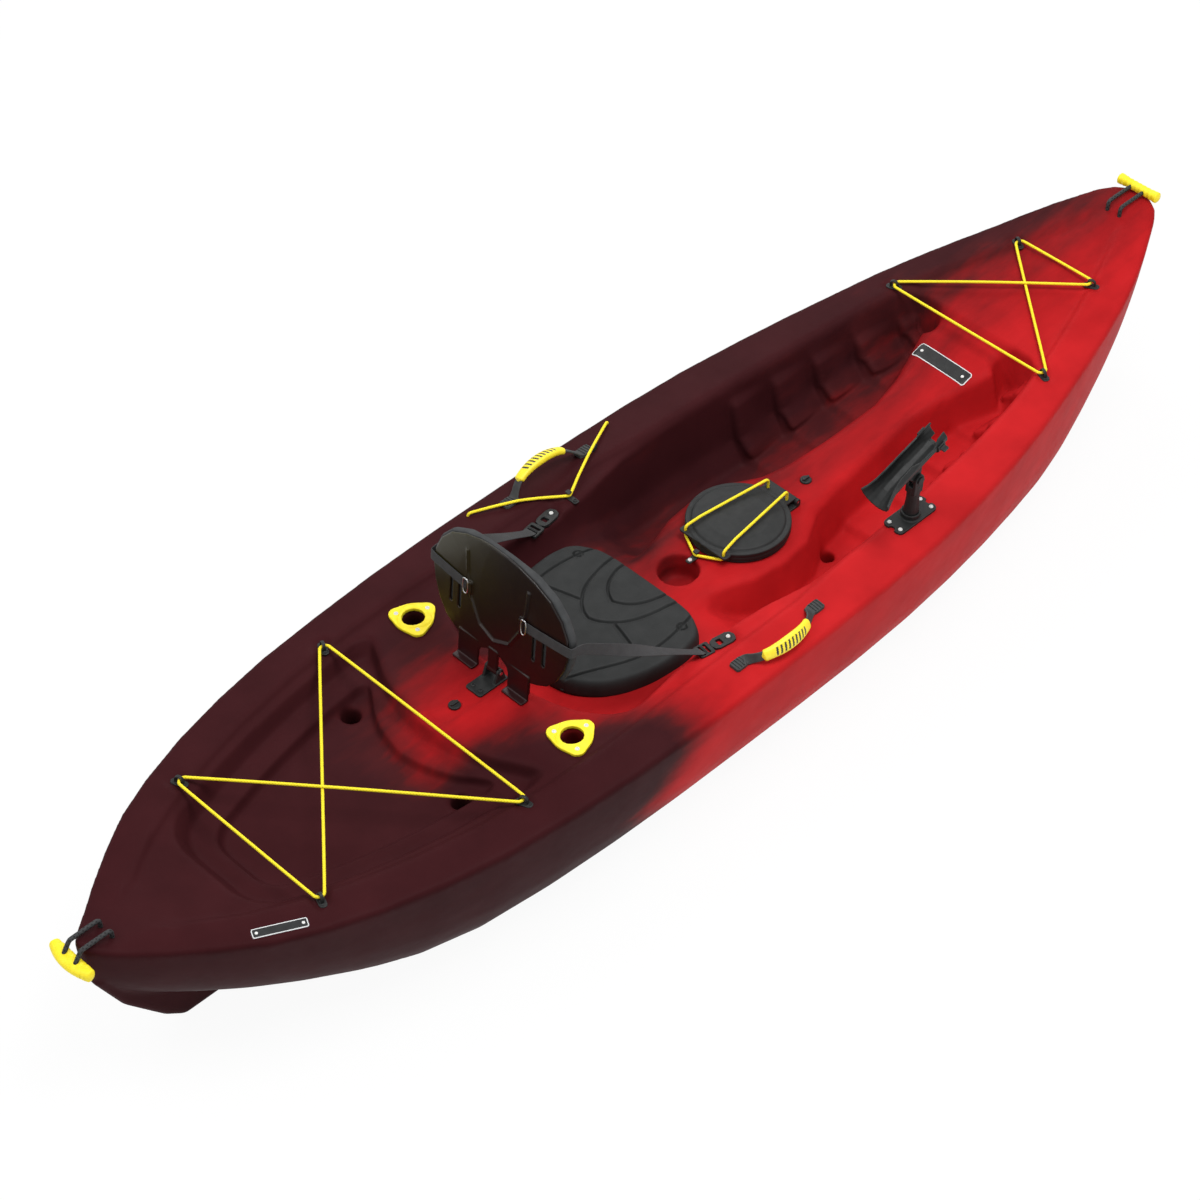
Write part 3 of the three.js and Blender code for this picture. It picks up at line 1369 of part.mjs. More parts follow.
function hatchLid() {
  const radius = hatch.lidRadius;
  const skirt = radius - hatch.skirtWall;
  const top = lidUnder + hatch.lidThick;
  const disc = turned([
    [0, lidUnder], [skirt, lidUnder], [skirt, lidUnder - hatch.skirtDrop],
    [radius, lidUnder - hatch.skirtDrop], [radius, top - hatch.skirtWall / 3],
    [radius - hatch.skirtWall / 3, top], [radius * 0.9, top],
    [radius * 0.86, top + hatch.dome * 0.35],
    [radius * 0.6, top + hatch.dome * 0.85], [0, top + hatch.dome],
  ], hatch.facets);
  const room = bar(skirt, lidUnder + overrun, hatch.facets, shift(0, 0, -overrun));
  const tabFrom = radius * 0.8;
  const tab = plate(
    roundedBox(
      hatch.tabReach - tabFrom, hatch.tabWidth, hatch.tabThick,
      -(hatch.tabReach + tabFrom) / 2, 0, 2,
    ),
    hatch.tabThick, [], shift(0, 0, lidUnder - fillet / 2),
  );
  const tongueEnd = hatch.pinReach - hatch.barrelRadius / 2;
  const tongue = plate(
    roundedBox(
      tongueEnd - tabFrom, hatch.tongueWidth, fillet, (tongueEnd + tabFrom) / 2, 0, 2,
    ),
    hatch.tabThick, [], shift(0, 0, pinZ + hatch.barrelRadius - hatch.tabThick),
  );
  const barrel = hingePin(hatch.barrelRadius, hatch.tongueWidth);
  const cordHole = (x, y) =>
    bar(cord.radius + 3 * gap, 2 * overrun, 8, shift(x, y, -overrun));
  const cordHoles = [-1, 1].flatMap((side) => [
    cordHole(tabHoleX, side * hatch.cordAftY),
    cordHole(hatch.cordForeReach, side * hatch.cordForeY),
  ]);
  const flanges = joined(tab, tongue, barrel).subtract(room);
  const pinHole = hingePin(hatch.pinRadius + gap, hatch.tongueWidth + overrun);
  return cutBy(joined(disc, flanges), [...cordHoles, pinHole]);
}
add("hatch_lid", hatchLid(), blackPlastic, hatchFrame);
add(
  "hatch_hinge_pin",
  hingePin(hatch.pinRadius, hatch.tongueWidth + 2 * hatch.earWidth - fillet),
  steel,
  hatchFrame,
);

// A hook that a cord is looped behind. X points along the pull; the cord crosses at x = 0.
const hookPostX = cordHook.post / 2 + cord.radius + gap;
const hookCordZ = cordHook.base + cord.radius + 2 * gap;
const hookScrewX = -cordHook.length * 0.45;

function hookSolid() {
  const middle = -cordHook.length * 0.18;
  const base = plate(
    roundedBox(cordHook.length, cordHook.width, cordHook.width * 0.3, middle, 0, 2),
    cordHook.base, [circlePoints(screw.shank + gap, 8, hookScrewX)], shift(0, 0, gap),
  );
  const lipZ = hookCordZ + cord.radius + cordHook.room;
  const post = plate(
    roundedBox(cordHook.post, cordHook.width * 0.45, cordHook.post / 2, hookPostX, 0, 2),
    lipZ + cordHook.lip - gap, [], shift(0, 0, gap),
  );
  const reach = 2 * cord.radius + cordHook.post;
  const lip = plate(
    roundedBox(
      reach, cordHook.width * 0.8, fillet, hookPostX + cordHook.post / 2 - reach / 2, 0, 2,
    ),
    cordHook.lip, [], shift(0, 0, lipZ),
  );
  return joined(base, post, lip);
}
function hookSeat(frame) {
  const room = roundedBox(
    cordHook.length + 2 * fit, cordHook.width + 2 * fit, cordHook.width * 0.4,
    -cordHook.length * 0.18, 0, 2,
  );
  hullCuts.push(plate(room, cordHook.seat + overrun, [], frame));
}

const hatchHookFrame = shift(hatch.x - cordHook.reach, 0, console_.top - cordHook.seat);
hookSeat(hatchHookFrame);
hullCuts.push(screwHole(chain(hatchHookFrame, shift(hookScrewX, 0, gap))));
add("hatch_hook", hookSolid(), blackPlastic, hatchHookFrame);
add("hatch_hook_screw", screwSolid(), steel, chain(
  hatchHookFrame, shift(hookScrewX, 0, cordHook.base + 2 * gap),
));

function hatchCord() {
  const foreZ = pinZ + hatch.barrelRadius;
  const domeZ = lidUnder + hatch.lidThick + hatch.dome + cord.radius + 2 * gap;
  const edgeZ = lidUnder + hatch.lidThick + cord.radius + gap;
  const half = [
    vec(hatch.cordForeReach, hatch.cordForeY, foreZ - hatch.tabThick * 2),
    vec(hatch.cordForeReach, hatch.cordForeY, domeZ + cord.radius),
    vec(-hatch.lidRadius * 0.55, lerp(hatch.cordForeY, hatch.cordAftY, 0.81), domeZ),
    vec(tabHoleX, hatch.cordAftY, edgeZ + cord.radius),
    vec(tabHoleX, hatch.cordAftY, lidUnder - hatch.tabThick - cord.radius),
    vec(-cordHook.reach - cord.bend * 0.12, 0, hookCordZ - cordHook.seat),
  ];
  const path = [...half, ...half.slice(0, -1).reverse().map((p) => vec(p.x, -p.y, p.z))];
  return sweep(rounded(path, cord.bend * 0.7), roundSection(cord.radius), false, vec(1, 0, 0));
}
add("hatch_bungee", hatchCord(), yellowCord, hatchFrame);

// Deck lacings: four pad eyes in pockets of the gunwale and one closed cord through them

const eyeHoleZ = eye.base + eye.holeRadius + fillet / 2;

function eyeSolid() {
  const outer = eye.holeRadius + eye.wall;
  const arch = [
    flatPoint(-outer, eye.base / 2), flatPoint(outer, eye.base / 2),
    ...Array.from({ length: 7 }, (_, k) => {
      const turn = (k / 6) * Math.PI;
      return flatPoint(outer * Math.cos(turn), eyeHoleZ + outer * Math.sin(turn));
    }),
  ];
  const hole = circlePoints(eye.holeRadius, 8, 0, eyeHoleZ);
  const base = plate(roundedBox(eye.length, eye.width, eye.width * 0.45, 0, 0, 2), eye.base);
  return joined(base, lengthwise(arch, 0, eye.thickness, [hole]));
}

function addLacing({ name, aftShare, foreShare, aftInset, foreInset }) {
  const [aft, fore] = [aftShare * halfLength, foreShare * halfLength];
  const place = (x, inset, side) => vec(x, side * (innerAt(x) + inset), crownAt(x) - eye.pocketDepth);
  const corners = {
    port_aft: place(aft, aftInset, 1),
    starboard_fore: place(fore, foreInset, -1),
    port_fore: place(fore, foreInset, 1),
    starboard_aft: place(aft, aftInset, -1),
  };
  const order = Object.keys(corners);
  const middleX = [aft, fore].reduce((sum, x) => sum + x / 2, 0);
  const path = [];
  order.forEach((key, i) => {
    const point = corners[key];
    const toPrevious = corners[order[(i + 3) % 4]].clone().sub(point).setZ(0).normalize();
    const toNext = corners[order[(i + 1) % 4]].clone().sub(point).setZ(0).normalize();
    const inward = toPrevious.clone().add(toNext).normalize();
    const slope = (crownAt(point.x + eye.length) - crownAt(point.x - eye.length)) / (2 * eye.length);
    const frame = frameAt(point, vec(-slope, 0, 1), inward);
    const nose = eye.pocketWidth / 2;
    hullCuts.push(plate([
      flatPoint(-eye.pocketOut, -nose * 0.6), flatPoint(-eye.pocketOut * 0.75, -nose),
      flatPoint(eye.pocketIn, -nose - eye.flare), flatPoint(eye.pocketIn, nose + eye.flare),
      flatPoint(-eye.pocketOut * 0.75, nose), flatPoint(-eye.pocketOut, nose * 0.6),
    ], eye.pocketDepth + overrun, [], frame));
    add(`${name}_eye_${key}`, eyeSolid(), blackPlastic, chain(frame, shift(0, 0, gap)));
    const half = toPrevious.angleTo(toNext) / 2;
    const excess = cord.bend * (1 / Math.sin(half) - 1);
    path.push(vec(-excess, 0, eyeHoleZ + gap).applyMatrix4(frame));
    const crosses = i % 2 === 0;
    if (crosses) {
      const next = corners[order[(i + 1) % 4]];
      const t = (middleX - point.x) / (next.x - point.x);
      const z = lerp(point.z, next.z, t) + eyeHoleZ;
      const over = (i === 0 ? 1 : -1) * (cord.radius + gap);
      path.push(vec(middleX, lerp(point.y, next.y, t), z + over));
    }
  });
  const route = rounded(path, cord.bend, true);
  add(`${name}_bungee`, sweep(route, roundSection(cord.radius), true), yellowCord);
}
lacings.forEach(addLacing);

// Rod tubes: bezels on the rear deck round two leaning holes

function addRodTube(name, side) {
  const y = side * (innerAt(rodTube.x) - rodTube.inset);
  const deck = deckAt(rodTube.x) - fillet / 2;
  const tilt = spinY(-degToRad(rodTube.lean));
  hullCuts.push(bar(rodTube.radius, rodTube.depth + overrun, 16, chain(
    shift(rodTube.x, y, deck), tilt, shift(0, 0, -rodTube.depth),
  )));
  const outline = (grow) => [0, 1, 2].flatMap((corner) =>
    Array.from({ length: 5 }, (_, k) => {
      const heading = (corner * 2 * Math.PI) / 3;
      const turn = heading + ((k / 4 - 0.5) * 2 * Math.PI) / 3;
      return flatPoint(
        rodTube.bezelRadius * Math.cos(heading) + (rodTube.bezelCorner + grow) * Math.cos(turn),
        rodTube.bezelRadius * Math.sin(heading) + (rodTube.bezelCorner + grow) * Math.sin(turn),
      );
    }));
  hullCuts.push(plate(outline(fillet), overrun, [], shift(rodTube.x, y, deck)));
  const wide = rodTube.radius + rodTube.lip * 2;
  const rim = turned([
    [0, rodTube.bezel / 2], [wide, rodTube.bezel / 2], [wide, rodTube.bezel],
    [wide - rodTube.lip / 2, rodTube.bezel + rodTube.lip / 2], [0, rodTube.bezel + rodTube.lip / 2],
  ], 20);
  const hole = bar(rodTube.radius - gap, 2 * overrun, 16, chain(tilt, shift(0, 0, -overrun)));
  const bezel = joined(plate(outline(0), rodTube.bezel), rim).subtract(hole);
  add(`rod_tube_bezel_${name}`, bezel, yellowPlastic, shift(rodTube.x, y, deck + gap));
}
Object.entries(sides).forEach(([name, side]) => addRodTube(name, side));

// A frame on the gunwale's top: Z square to it, X towards the bow.
function gunwaleFrame(x, y, reachX, reachY) {
  const side = Math.sign(y);
  const slopeX = (gunwaleTop(x + reachX, y) - gunwaleTop(x - reachX, y)) / (2 * reachX);
  const rise = gunwaleTop(x, Math.abs(y) + reachY) - gunwaleTop(x, Math.abs(y) - reachY);
  const slopeY = (side * rise) / (2 * reachY);
  return frameAt(vec(x, y, gunwaleTop(x, y)), vec(-slopeX, -slopeY, 1), vec(1, 0, slopeX));
}

// Side carry handles: a moulded strap with a pad at each end and a grip on its arch

const archShares = [
  [1, 0], [0.94, 0.08], [0.84, 0.32], [0.74, 0.55], [0.57, 0.78], [0.3, 0.95], [0, 1],
];

function addSideHandle(name, side, tiltDegrees) {
  const middle = (handle.aft + handle.fore) / 2;
  const y = side * (outerAt(middle) - handle.inset);
  const frame = gunwaleFrame(middle, y, (handle.fore - handle.aft) / 2, handle.padWidth / 2);
  const half = (handle.fore - handle.aft) / 2;
  const tilt = degToRad(tiltDegrees);
  const rise = vec(0, side * Math.sin(tilt), Math.cos(tilt));
  const wideUp = vec(0, side * Math.cos(tilt), -Math.sin(tilt));
  const flat = vec(0, side, 0);
  const root = -handle.seat + gap + handle.padThick;
  const reach = half - handle.padLength / 2 + handle.strapThick;
  const point = ([share, height], end) =>
    vec(end * share * reach, 0, root).addScaledVector(rise, height * handle.rise);
  const table = [
    ...archShares.map((entry) => [entry, -1]),
    ...archShares.slice(0, -1).reverse().map((entry) => [entry, 1]),
  ];
  const points = table.map(([entry, end]) => point(entry, end));
  const wides = table.map(([[share]]) =>
    flat.clone().lerp(wideUp, smoothstep(1 - share, 0.02, 0.24)).normalize());
  const pads = [-1, 1].map((end) => plate(
    roundedBox(handle.padLength, handle.padWidth, handle.padWidth * 0.3, end * half, 0, 2),
    handle.padThick, [], shift(0, 0, -handle.seat + gap),
  ));
  [-1, 1].forEach((end) => hullCuts.push(plate(
    roundedBox(
      handle.padLength + 2 * fit, handle.padWidth + 2 * fit, handle.padWidth * 0.35,
      end * half, 0, 2,
    ),
    handle.seat + overrun, [], chain(frame, shift(0, 0, -handle.seat)),
  )));
  const strapSection = flatSection(handle.strapWidth, handle.strapThick);
  const band = oriented(points, wides, strapSection);
  add(`side_handle_strap_${name}`, joined(band, ...pads), blackRubber, frame);
  const gripHalf = handle.gripLength / 2;
  const held = points.map((p, i) => [p, wides[i]]).filter(([p]) => Math.abs(p.x) < gripHalf * 0.98);
  const ends = [-1, 1].map((end) => {
    const [first, firstWide] = end < 0 ? held[0] : held[held.length - 1];
    const index = points.indexOf(first) + end;
    const t = (end * gripHalf - first.x) / (points[index].x - first.x);
    return [first.clone().lerp(points[index], t), firstWide.clone().lerp(wides[index], t).normalize()];
  });
  const gripLine = [ends[0], ...held, ends[1]];
  const oval = circlePoints(1, 10).map((p) => [
    (p.x * handle.gripWidth) / 2, (p.y * handle.gripThick) / 2,
  ]);
  const grip = oriented(gripLine.map(([p]) => p), gripLine.map(([, wide]) => wide), oval);
  const bore = oriented(
    points, wides, flatSection(handle.strapWidth + 2 * gap, handle.strapThick + 2 * gap),
  );
  add(`side_handle_grip_${name}`, grip.subtract(bore), yellowPlastic, frame);
}
addSideHandle("port", sides.port, handle.portTilt);
addSideHandle("starboard", sides.starboard, handle.starboardTilt);

const swell = smooth([
  [0, 0.5], [0.04, 0.8], [0.12, 0.96], [0.3, 1], [0.7, 1], [0.88, 0.96], [0.96, 0.8], [1, 0.5],
]);

// Carry handles at the tips: a grip on a rope whose ends sit in two holes of the deck

function addEndHandle(name, outward, { bow, ...inside }, gripZ, crest) {
  const hole = outward * (halfLength - inside.hole);
  const grip = outward * (halfLength - inside.grip);
  const deck = deckAt(hole) + ridgeAt(hole);
  [-1, 1].forEach((side) => hullCuts.push(bar(
    endHandle.rope + 2 * gap, endHandle.setIn + overrun, 12,
    shift(hole, side * endHandle.spread, deck - endHandle.setIn - gap),
  )));
  const half = [
    vec(hole, endHandle.spread, deck - endHandle.setIn),
    vec(hole, endHandle.spread, crest.z),
    ...(crest.x ? [vec(crest.x, endHandle.spread, crest.z)] : []),
    vec(grip, endHandle.spread, gripZ),
  ];
  const corners = [...half, ...[...half].reverse().map((p) => vec(p.x, -p.y, p.z))];
  const route = rounded(corners, endHandle.rope * 2.3);
  const rope = sweep(route, roundSection(endHandle.rope), false, vec(outward, 0, 0));
  add(`${name}_handle_rope`, rope, blackRubber);
  const places = [0, 0.05, 0.15, 0.35, 0.65, 0.85, 0.95, 1];
  const rings = places.map((t) => {
    const y = (t - 0.5) * endHandle.length;
    const curve = bow * (1 - (2 * t - 1) ** 2 - 0.9);
    const radius = endHandle.radius * swell(t);
    return circlePoints(radius, 8).map((p) => vec(grip + outward * curve + p.x, y, gripZ + p.y));
  });
  const bore = sweep(route, roundSection(endHandle.rope + gap), false, vec(outward, 0, 0));
  add(`${name}_handle_grip`, loft(rings).subtract(bore), yellowPlastic);
}
const bowGripZ = crownAt(halfLength - endHandle.bow.grip) + endHandle.radius + gap;
addEndHandle("bow", 1, endHandle.bow, bowGripZ, { z: bowGripZ });
const sternCrown = crownAt(-halfLength);
addEndHandle("stern", -1, endHandle.stern, sternCrown - endHandle.sternHang, {
  x: -halfLength - endHandle.rope * 2,
  z: sternCrown + endHandle.rope + 2 * gap,
});

// Paddle keeper: a cord over the port gunwale, looped behind a hook on the ledge

const keeperHookY = innerAt(keeper.hookX) - keeper.hookInset;
const keeperHookZ = deckAt(keeper.hookX) - cordHook.seat;
const keeperHookFrame = frameAt(vec(keeper.hookX, keeperHookY, keeperHookZ), up, vec(0, 1, 0));
hookSeat(keeperHookFrame);
hullCuts.push(screwHole(chain(keeperHookFrame, shift(hookScrewX, 0, gap))));
add("paddle_keeper_hook", hookSolid(), blackPlastic, keeperHookFrame);
add("paddle_keeper_hook_screw", screwSolid(), steel, chain(
  keeperHookFrame, shift(hookScrewX, 0, cordHook.base + 2 * gap),
));

function keeperCord() {
  const apex = vec(-cord.bend * 0.1, 0, hookCordZ).applyMatrix4(keeperHookFrame);
  const leg = (x) => {
    const y = outerAt(x) - keeper.endInset;
    const low = vec(x, y, gunwaleTop(x, y) - keeper.setIn);
    const high = vec(x, y, gunwaleTop(x, y) + cord.radius * 2);
    hullCuts.push(bar(cord.radius + 2 * gap, keeper.setIn + overrun, 10, shift(x, y, low.z - gap)));
    const overPad = (t) => {
      const p = high.clone().lerp(apex, t);
      return p.setZ(gunwaleTop(p.x, p.y) + handle.padThick + cord.radius);
    };
    const crown = high.clone().lerp(apex, (y - innerAt(x)) / (y - keeperHookY));
    crown.setZ(crownAt(crown.x) + cord.radius + 4 * gap);
    return [low, high, overPad(0.26), overPad(0.5), crown];
  };
  const path = [...leg(keeper.aft), apex, ...leg(keeper.fore).reverse()];
  return sweep(rounded(path, cord.bend * 0.75), roundSection(cord.radius), false, vec(1, 0, 0));
}
add("paddle_keeper_bungee", keeperCord(), yellowCord);

// Adjustable rod holder on the starboard gunwale

const holderY = -(innerAt(holder.x) + holder.inset);
const holderFrame = gunwaleFrame(holder.x, holderY, holder.screwX, holder.width * 0.3);
hullCuts.push(plate(
  roundedBox(holder.length + 2 * fit, holder.width + 2 * fit, holder.notch, 0, 0),
  holder.seat + overrun, [], chain(holderFrame, shift(0, 0, -holder.seat)),
));
const holderBase = chain(holderFrame, shift(0, 0, gap - holder.seat));
const postBottom = holder.plate / 2;

function holderBaseSolid() {
  const corner = holder.notch;
  let base = plate(roundedBox(holder.length, holder.width, corner), holder.plate);
  const socket = turned([
    [0, 0], [holder.socket + fillet, 0], [holder.socket + fillet, holder.plate],
    [holder.socket, holder.plate + fillet], [holder.socket, holder.plate + holder.socketHeight],
    [0, holder.plate + holder.socketHeight],
  ], 20);
  base = joined(base, socket);
  const room = bar(holder.post + gap, holder.socketHeight + overrun, 16, shift(0, 0, postBottom));
  const notches = [-1, 1].map((end) =>
    bar(holder.notch * 0.7, 2 * overrun, 12, shift((end * holder.length) / 2, 0, -overrun)));
  const holes = [-1, 1].flatMap((i) => [-1, 1].map((j) =>
    bar(screw.shank + gap, 2 * overrun, 8, shift(i * holder.screwX, j * holder.screwY, -overrun))));
  return cutBy(base, [room, ...notches, ...holes]);
}
add("rod_holder_base", holderBaseSolid(), blackPlastic, holderBase);
[["fore", 1], ["aft", -1]].forEach(([end, i]) => {
  [["inner", 1], ["outer", -1]].forEach(([edge, j]) => {
    const matrix = chain(holderBase, shift(i * holder.screwX, j * holder.screwY, holder.plate));
    hullCuts.push(screwHole(matrix));
    add(`rod_holder_screw_${end}_${edge}`, screwSolid(), steel, chain(matrix, shift(0, 0, gap)));
  });
});

const acrossBar = (radius, length, z, segments = 14) =>
  bar(radius, length, segments, chain(shift(0, length / 2, z), spinX(Math.PI / 2)));

function holderPostSolid() {
  const post = turned([
    [0, postBottom + gap], [holder.post, postBottom + gap],
    [holder.post, holder.plate + holder.socketHeight + fillet],
    [holder.post * 0.86, holder.postHeight * 0.55], [holder.post * 0.86, holder.postHeight],
    [0, holder.postHeight],
  ], 16);
  const lugRoom = holder.lug / 2 + gap;
  const earThick = (holder.knuckleWidth / 2 - lugRoom) * 0.62;
  const ear = [
    flatPoint(-holder.knuckle, holder.postHeight * 0.8),
    flatPoint(holder.knuckle, holder.postHeight * 0.8),
    ...Array.from({ length: 9 }, (_, k) => {
      const turn = (k / 8) * Math.PI;
      return flatPoint(
        holder.knuckle * Math.cos(turn), holder.boltHeight + holder.knuckle * Math.sin(turn),
      );
    }),
  ];
  const ears = [-1, 1].map((side) => lengthwise(ear, side * (lugRoom + earThick / 2), earThick));
  return joined(post, ...ears)
    .subtract(acrossBar(holder.boltRadius + gap, holder.knuckleWidth + overrun, holder.boltHeight));
}
add("rod_holder_post", holderPostSolid(), blackPlastic, holderBase);

function holderBoltSolid() {
  const lugRoom = holder.lug / 2 + gap;
  const earOut = lugRoom + (holder.knuckleWidth / 2 - lugRoom) * 0.62 + gap;
  const shank = acrossBar(holder.boltRadius, holder.knuckleWidth, holder.boltHeight);
  const knob = (side) => {
    const length = holder.knuckleWidth / 2 - earOut;
    const points = circlePoints(holder.knuckle * 0.72, 10, 0, holder.boltHeight);
    return lengthwise(points, side * (earOut + length / 2), length);
  };
  return joined(shank, knob(1), knob(-1));
}
add("rod_holder_bolt", holderBoltSolid(), blackPlastic, holderBase);

// The cradle's frame sits on the bolt, its X along the rod.
const cradleFrame = chain(
  holderBase, shift(0, 0, holder.boltHeight), spinY(-degToRad(holder.elevation)),
);
const wallAngle = smooth([
  [0, 4], [0.1, 8], [0.28, 34], [0.5, 38], [0.62, 14], [0.82, 14], [0.9, 40], [1, 44],
]);
const flareShape = smooth([[0, 1], [0.08, 0.5], [0.2, 0.05], [0.3, 0], [1, 0]]);

function troughRing(share) {
  const x = lerp(holder.aft, holder.fore, share);
  const top = degToRad(wallAngle(share));
  const outer = holder.trough + holder.flare * flareShape(share);
  const arc = (radius, count) => Array.from({ length: count + 1 }, (_, k) => {
    const turn = lerp(top, -Math.PI - top, k / count);
    return vec(x, radius * Math.cos(turn), holder.cradleReach + radius * Math.sin(turn));
  });
  return [...arc(outer, 8), ...arc(outer - holder.wall, 8).reverse()];
}

function cradleSolid() {
  const shares = [0, 0.08, 0.18, 0.3, 0.48, 0.6, 0.7, 0.8, 0.9, 1];
  const trough = loft(shares.map(troughRing));
  const under = holder.cradleReach - holder.trough + holder.wall * 0.8;
  const lug = [
    flatPoint(-holder.trough * 1.3, under),
    flatPoint(-holder.knuckle * 0.95, holder.knuckle * 0.3),
    ...Array.from({ length: 7 }, (_, k) => {
      const turn = Math.PI * (1.1 + (k / 6) * 0.8);
      return flatPoint(holder.knuckle * Math.cos(turn), holder.knuckle * Math.sin(turn));
    }),
    flatPoint(holder.knuckle * 0.95, holder.knuckle * 0.3),
    flatPoint(holder.trough * 1.1, under),
  ];
  const fork = plate(
    roundedBox(holder.trough * 1.6, holder.trough * 0.9, holder.wall, holder.fore, 0),
    holder.cradleReach, [],
  );
  const pivot = crossBar(holder.boltRadius + gap, holder.lug + overrun);
  return joined(trough, lengthwise(lug, 0, holder.lug)).subtract(fork).subtract(pivot);
}
add("rod_holder_cradle", cradleSolid(), blackPlastic, cradleFrame);

function collarSolid() {
  const open = degToRad(10);
  const inner = holder.trough + gap;
  const outer = inner + holder.collarWall;
  const ring = (x) => {
    const arc = (radius) => Array.from({ length: 13 }, (_, k) => {
      const turn = lerp(open, -Math.PI - open, k / 12);
      return vec(x, radius * Math.cos(turn), radius * Math.sin(turn));
    });
    return [...arc(outer), ...arc(inner).reverse()];
  };
  const band = loft([ring(0), ring(holder.collar)]);
  const tab = plate(
    roundedBox(
      holder.collar * 0.7, holder.collarWall * 4, fillet,
      holder.collar / 2, -outer - holder.collarWall, 2,
    ),
    holder.collarWall, [], shift(0, 0, -holder.collarWall),
  );
  return joined(band, tab);
}
add("rod_holder_collar", collarSolid(), blackPlastic, chain(
  cradleFrame, shift(holder.collarAt, 0, holder.cradleReach),
));

add("hull", cutBy(joined(hullBody(), skegSolid()), hullCuts), redPlastic);

export default kayak;
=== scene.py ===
"""Looks of a fishing kayak: its visible pieces, their materials, the light and the camera.

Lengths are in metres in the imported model's frame: X to the bow, Y to port, Z up.
"""
import math

import bmesh
import bpy
import numpy as np
from mathutils import Matrix, Vector
from mathutils.bvhtree import BVHTree


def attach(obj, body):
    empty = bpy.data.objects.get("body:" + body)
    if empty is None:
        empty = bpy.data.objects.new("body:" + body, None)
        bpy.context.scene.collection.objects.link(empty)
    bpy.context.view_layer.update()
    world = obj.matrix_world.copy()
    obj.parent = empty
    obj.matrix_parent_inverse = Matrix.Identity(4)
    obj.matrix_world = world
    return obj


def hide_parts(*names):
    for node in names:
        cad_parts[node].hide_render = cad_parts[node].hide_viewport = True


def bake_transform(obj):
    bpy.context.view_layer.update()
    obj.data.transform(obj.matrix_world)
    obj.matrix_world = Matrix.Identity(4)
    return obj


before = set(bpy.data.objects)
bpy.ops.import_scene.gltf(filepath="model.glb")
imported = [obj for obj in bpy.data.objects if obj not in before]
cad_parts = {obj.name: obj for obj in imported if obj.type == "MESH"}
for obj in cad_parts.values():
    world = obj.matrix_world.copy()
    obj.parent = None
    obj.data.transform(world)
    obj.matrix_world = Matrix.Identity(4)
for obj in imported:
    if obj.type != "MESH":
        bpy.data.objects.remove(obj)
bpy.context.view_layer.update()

MM = 0.001
SIDES = (("port", 1), ("starboard", -1))

# Routes that the cords and ropes follow in the CAD source, in millimetres. Those of HALF_ROUTES go
# on as their mirror image, back from the middle.

ROUTES = {
    "stern_bungee": (
        (-1135, 192.9, 340), (-1133.6, 198.5, 340), (-1129.7, 202.8, 340), (-1124.2, 204.8, 340),
        (-1118.5, 204, 340), (-1113.8, 200.6, 340), (-909.7, -42.1, 340.5), (-705.4, -284.8, 334.7),
        (-700.7, -288.2, 334.6), (-695, -289, 334.5), (-689.5, -287, 334.3),
        (-685.6, -282.7, 334.2),
        (-684.2, -277.1, 334.1), (-684.2, 277.1, 334.1), (-685.6, 282.7, 334.1),
        (-689.5, 287, 334.1),
        (-695, 289, 334.1), (-700.7, 288.2, 334.1), (-705.4, 284.8, 334), (-909.7, 42.1, 332.9),
        (-1113.8, -200.6, 339.3), (-1118.5, -204, 339.5), (-1124.3, -204.8, 339.6),
        (-1129.7, -202.9, 339.8), (-1133.6, -198.5, 339.9), (-1135, -192.9, 340),
    ),
    "bow_bungee": (
        (919.8, 202, 382.5), (921.2, 207.6, 382.7), (925, 211.9, 383), (930.4, 213.9, 383.5),
        (936.1, 213.2, 384), (940.8, 209.9, 384.4), (1075.6, 54.4, 396.2), (1208.1, -100.6, 402),
        (1212.8, -103.9, 402.2), (1218.6, -104.7, 402.5), (1224, -102.7, 402.7),
        (1227.8, -98.4, 402.9), (1229.2, -92.8, 402.9), (1229.2, 92.8, 402.9),
        (1227.9, 98.5, 402.8),
        (1224, 102.8, 402.4), (1218.6, 104.8, 401.9), (1212.9, 104, 401.4), (1208.2, 100.7, 401),
        (1075.6, -54.4, 388.6), (940.9, -209.8, 383.4), (936.2, -213.1, 383.2),
        (930.5, -213.9, 383),
        (925.1, -211.9, 382.7), (921.2, -207.6, 382.6), (919.8, -202, 382.5),
    ),
    "paddle_keeper_bungee": (
        (-226, 367.7, 316), (-226, 367.7, 329), (-225.1, 367.2, 333.2), (-222.6, 365.8, 336.4),
        (-219.1, 363.8, 337.9), (-176.6, 339.4, 343.7), (-131.6, 313.6, 347.4),
        (-130.4, 313, 347.4),
        (-95.2, 292.8, 344.4), (-94.7, 292.5, 344.3), (-40.4, 261.4, 335.7), (-36, 260.2, 335.5),
        (-31.5, 261.1, 336.1), (15, 284, 346.9), (16, 284.4, 347), (70.6, 311.2, 352),
        (71.5, 311.6, 352.1), (122.4, 336.6, 350.4), (170.5, 360.2, 346.3), (174.3, 362.1, 344.9),
        (177, 363.4, 341.7), (178, 363.9, 337.4), (178, 363.9, 324.7),
    ),
}
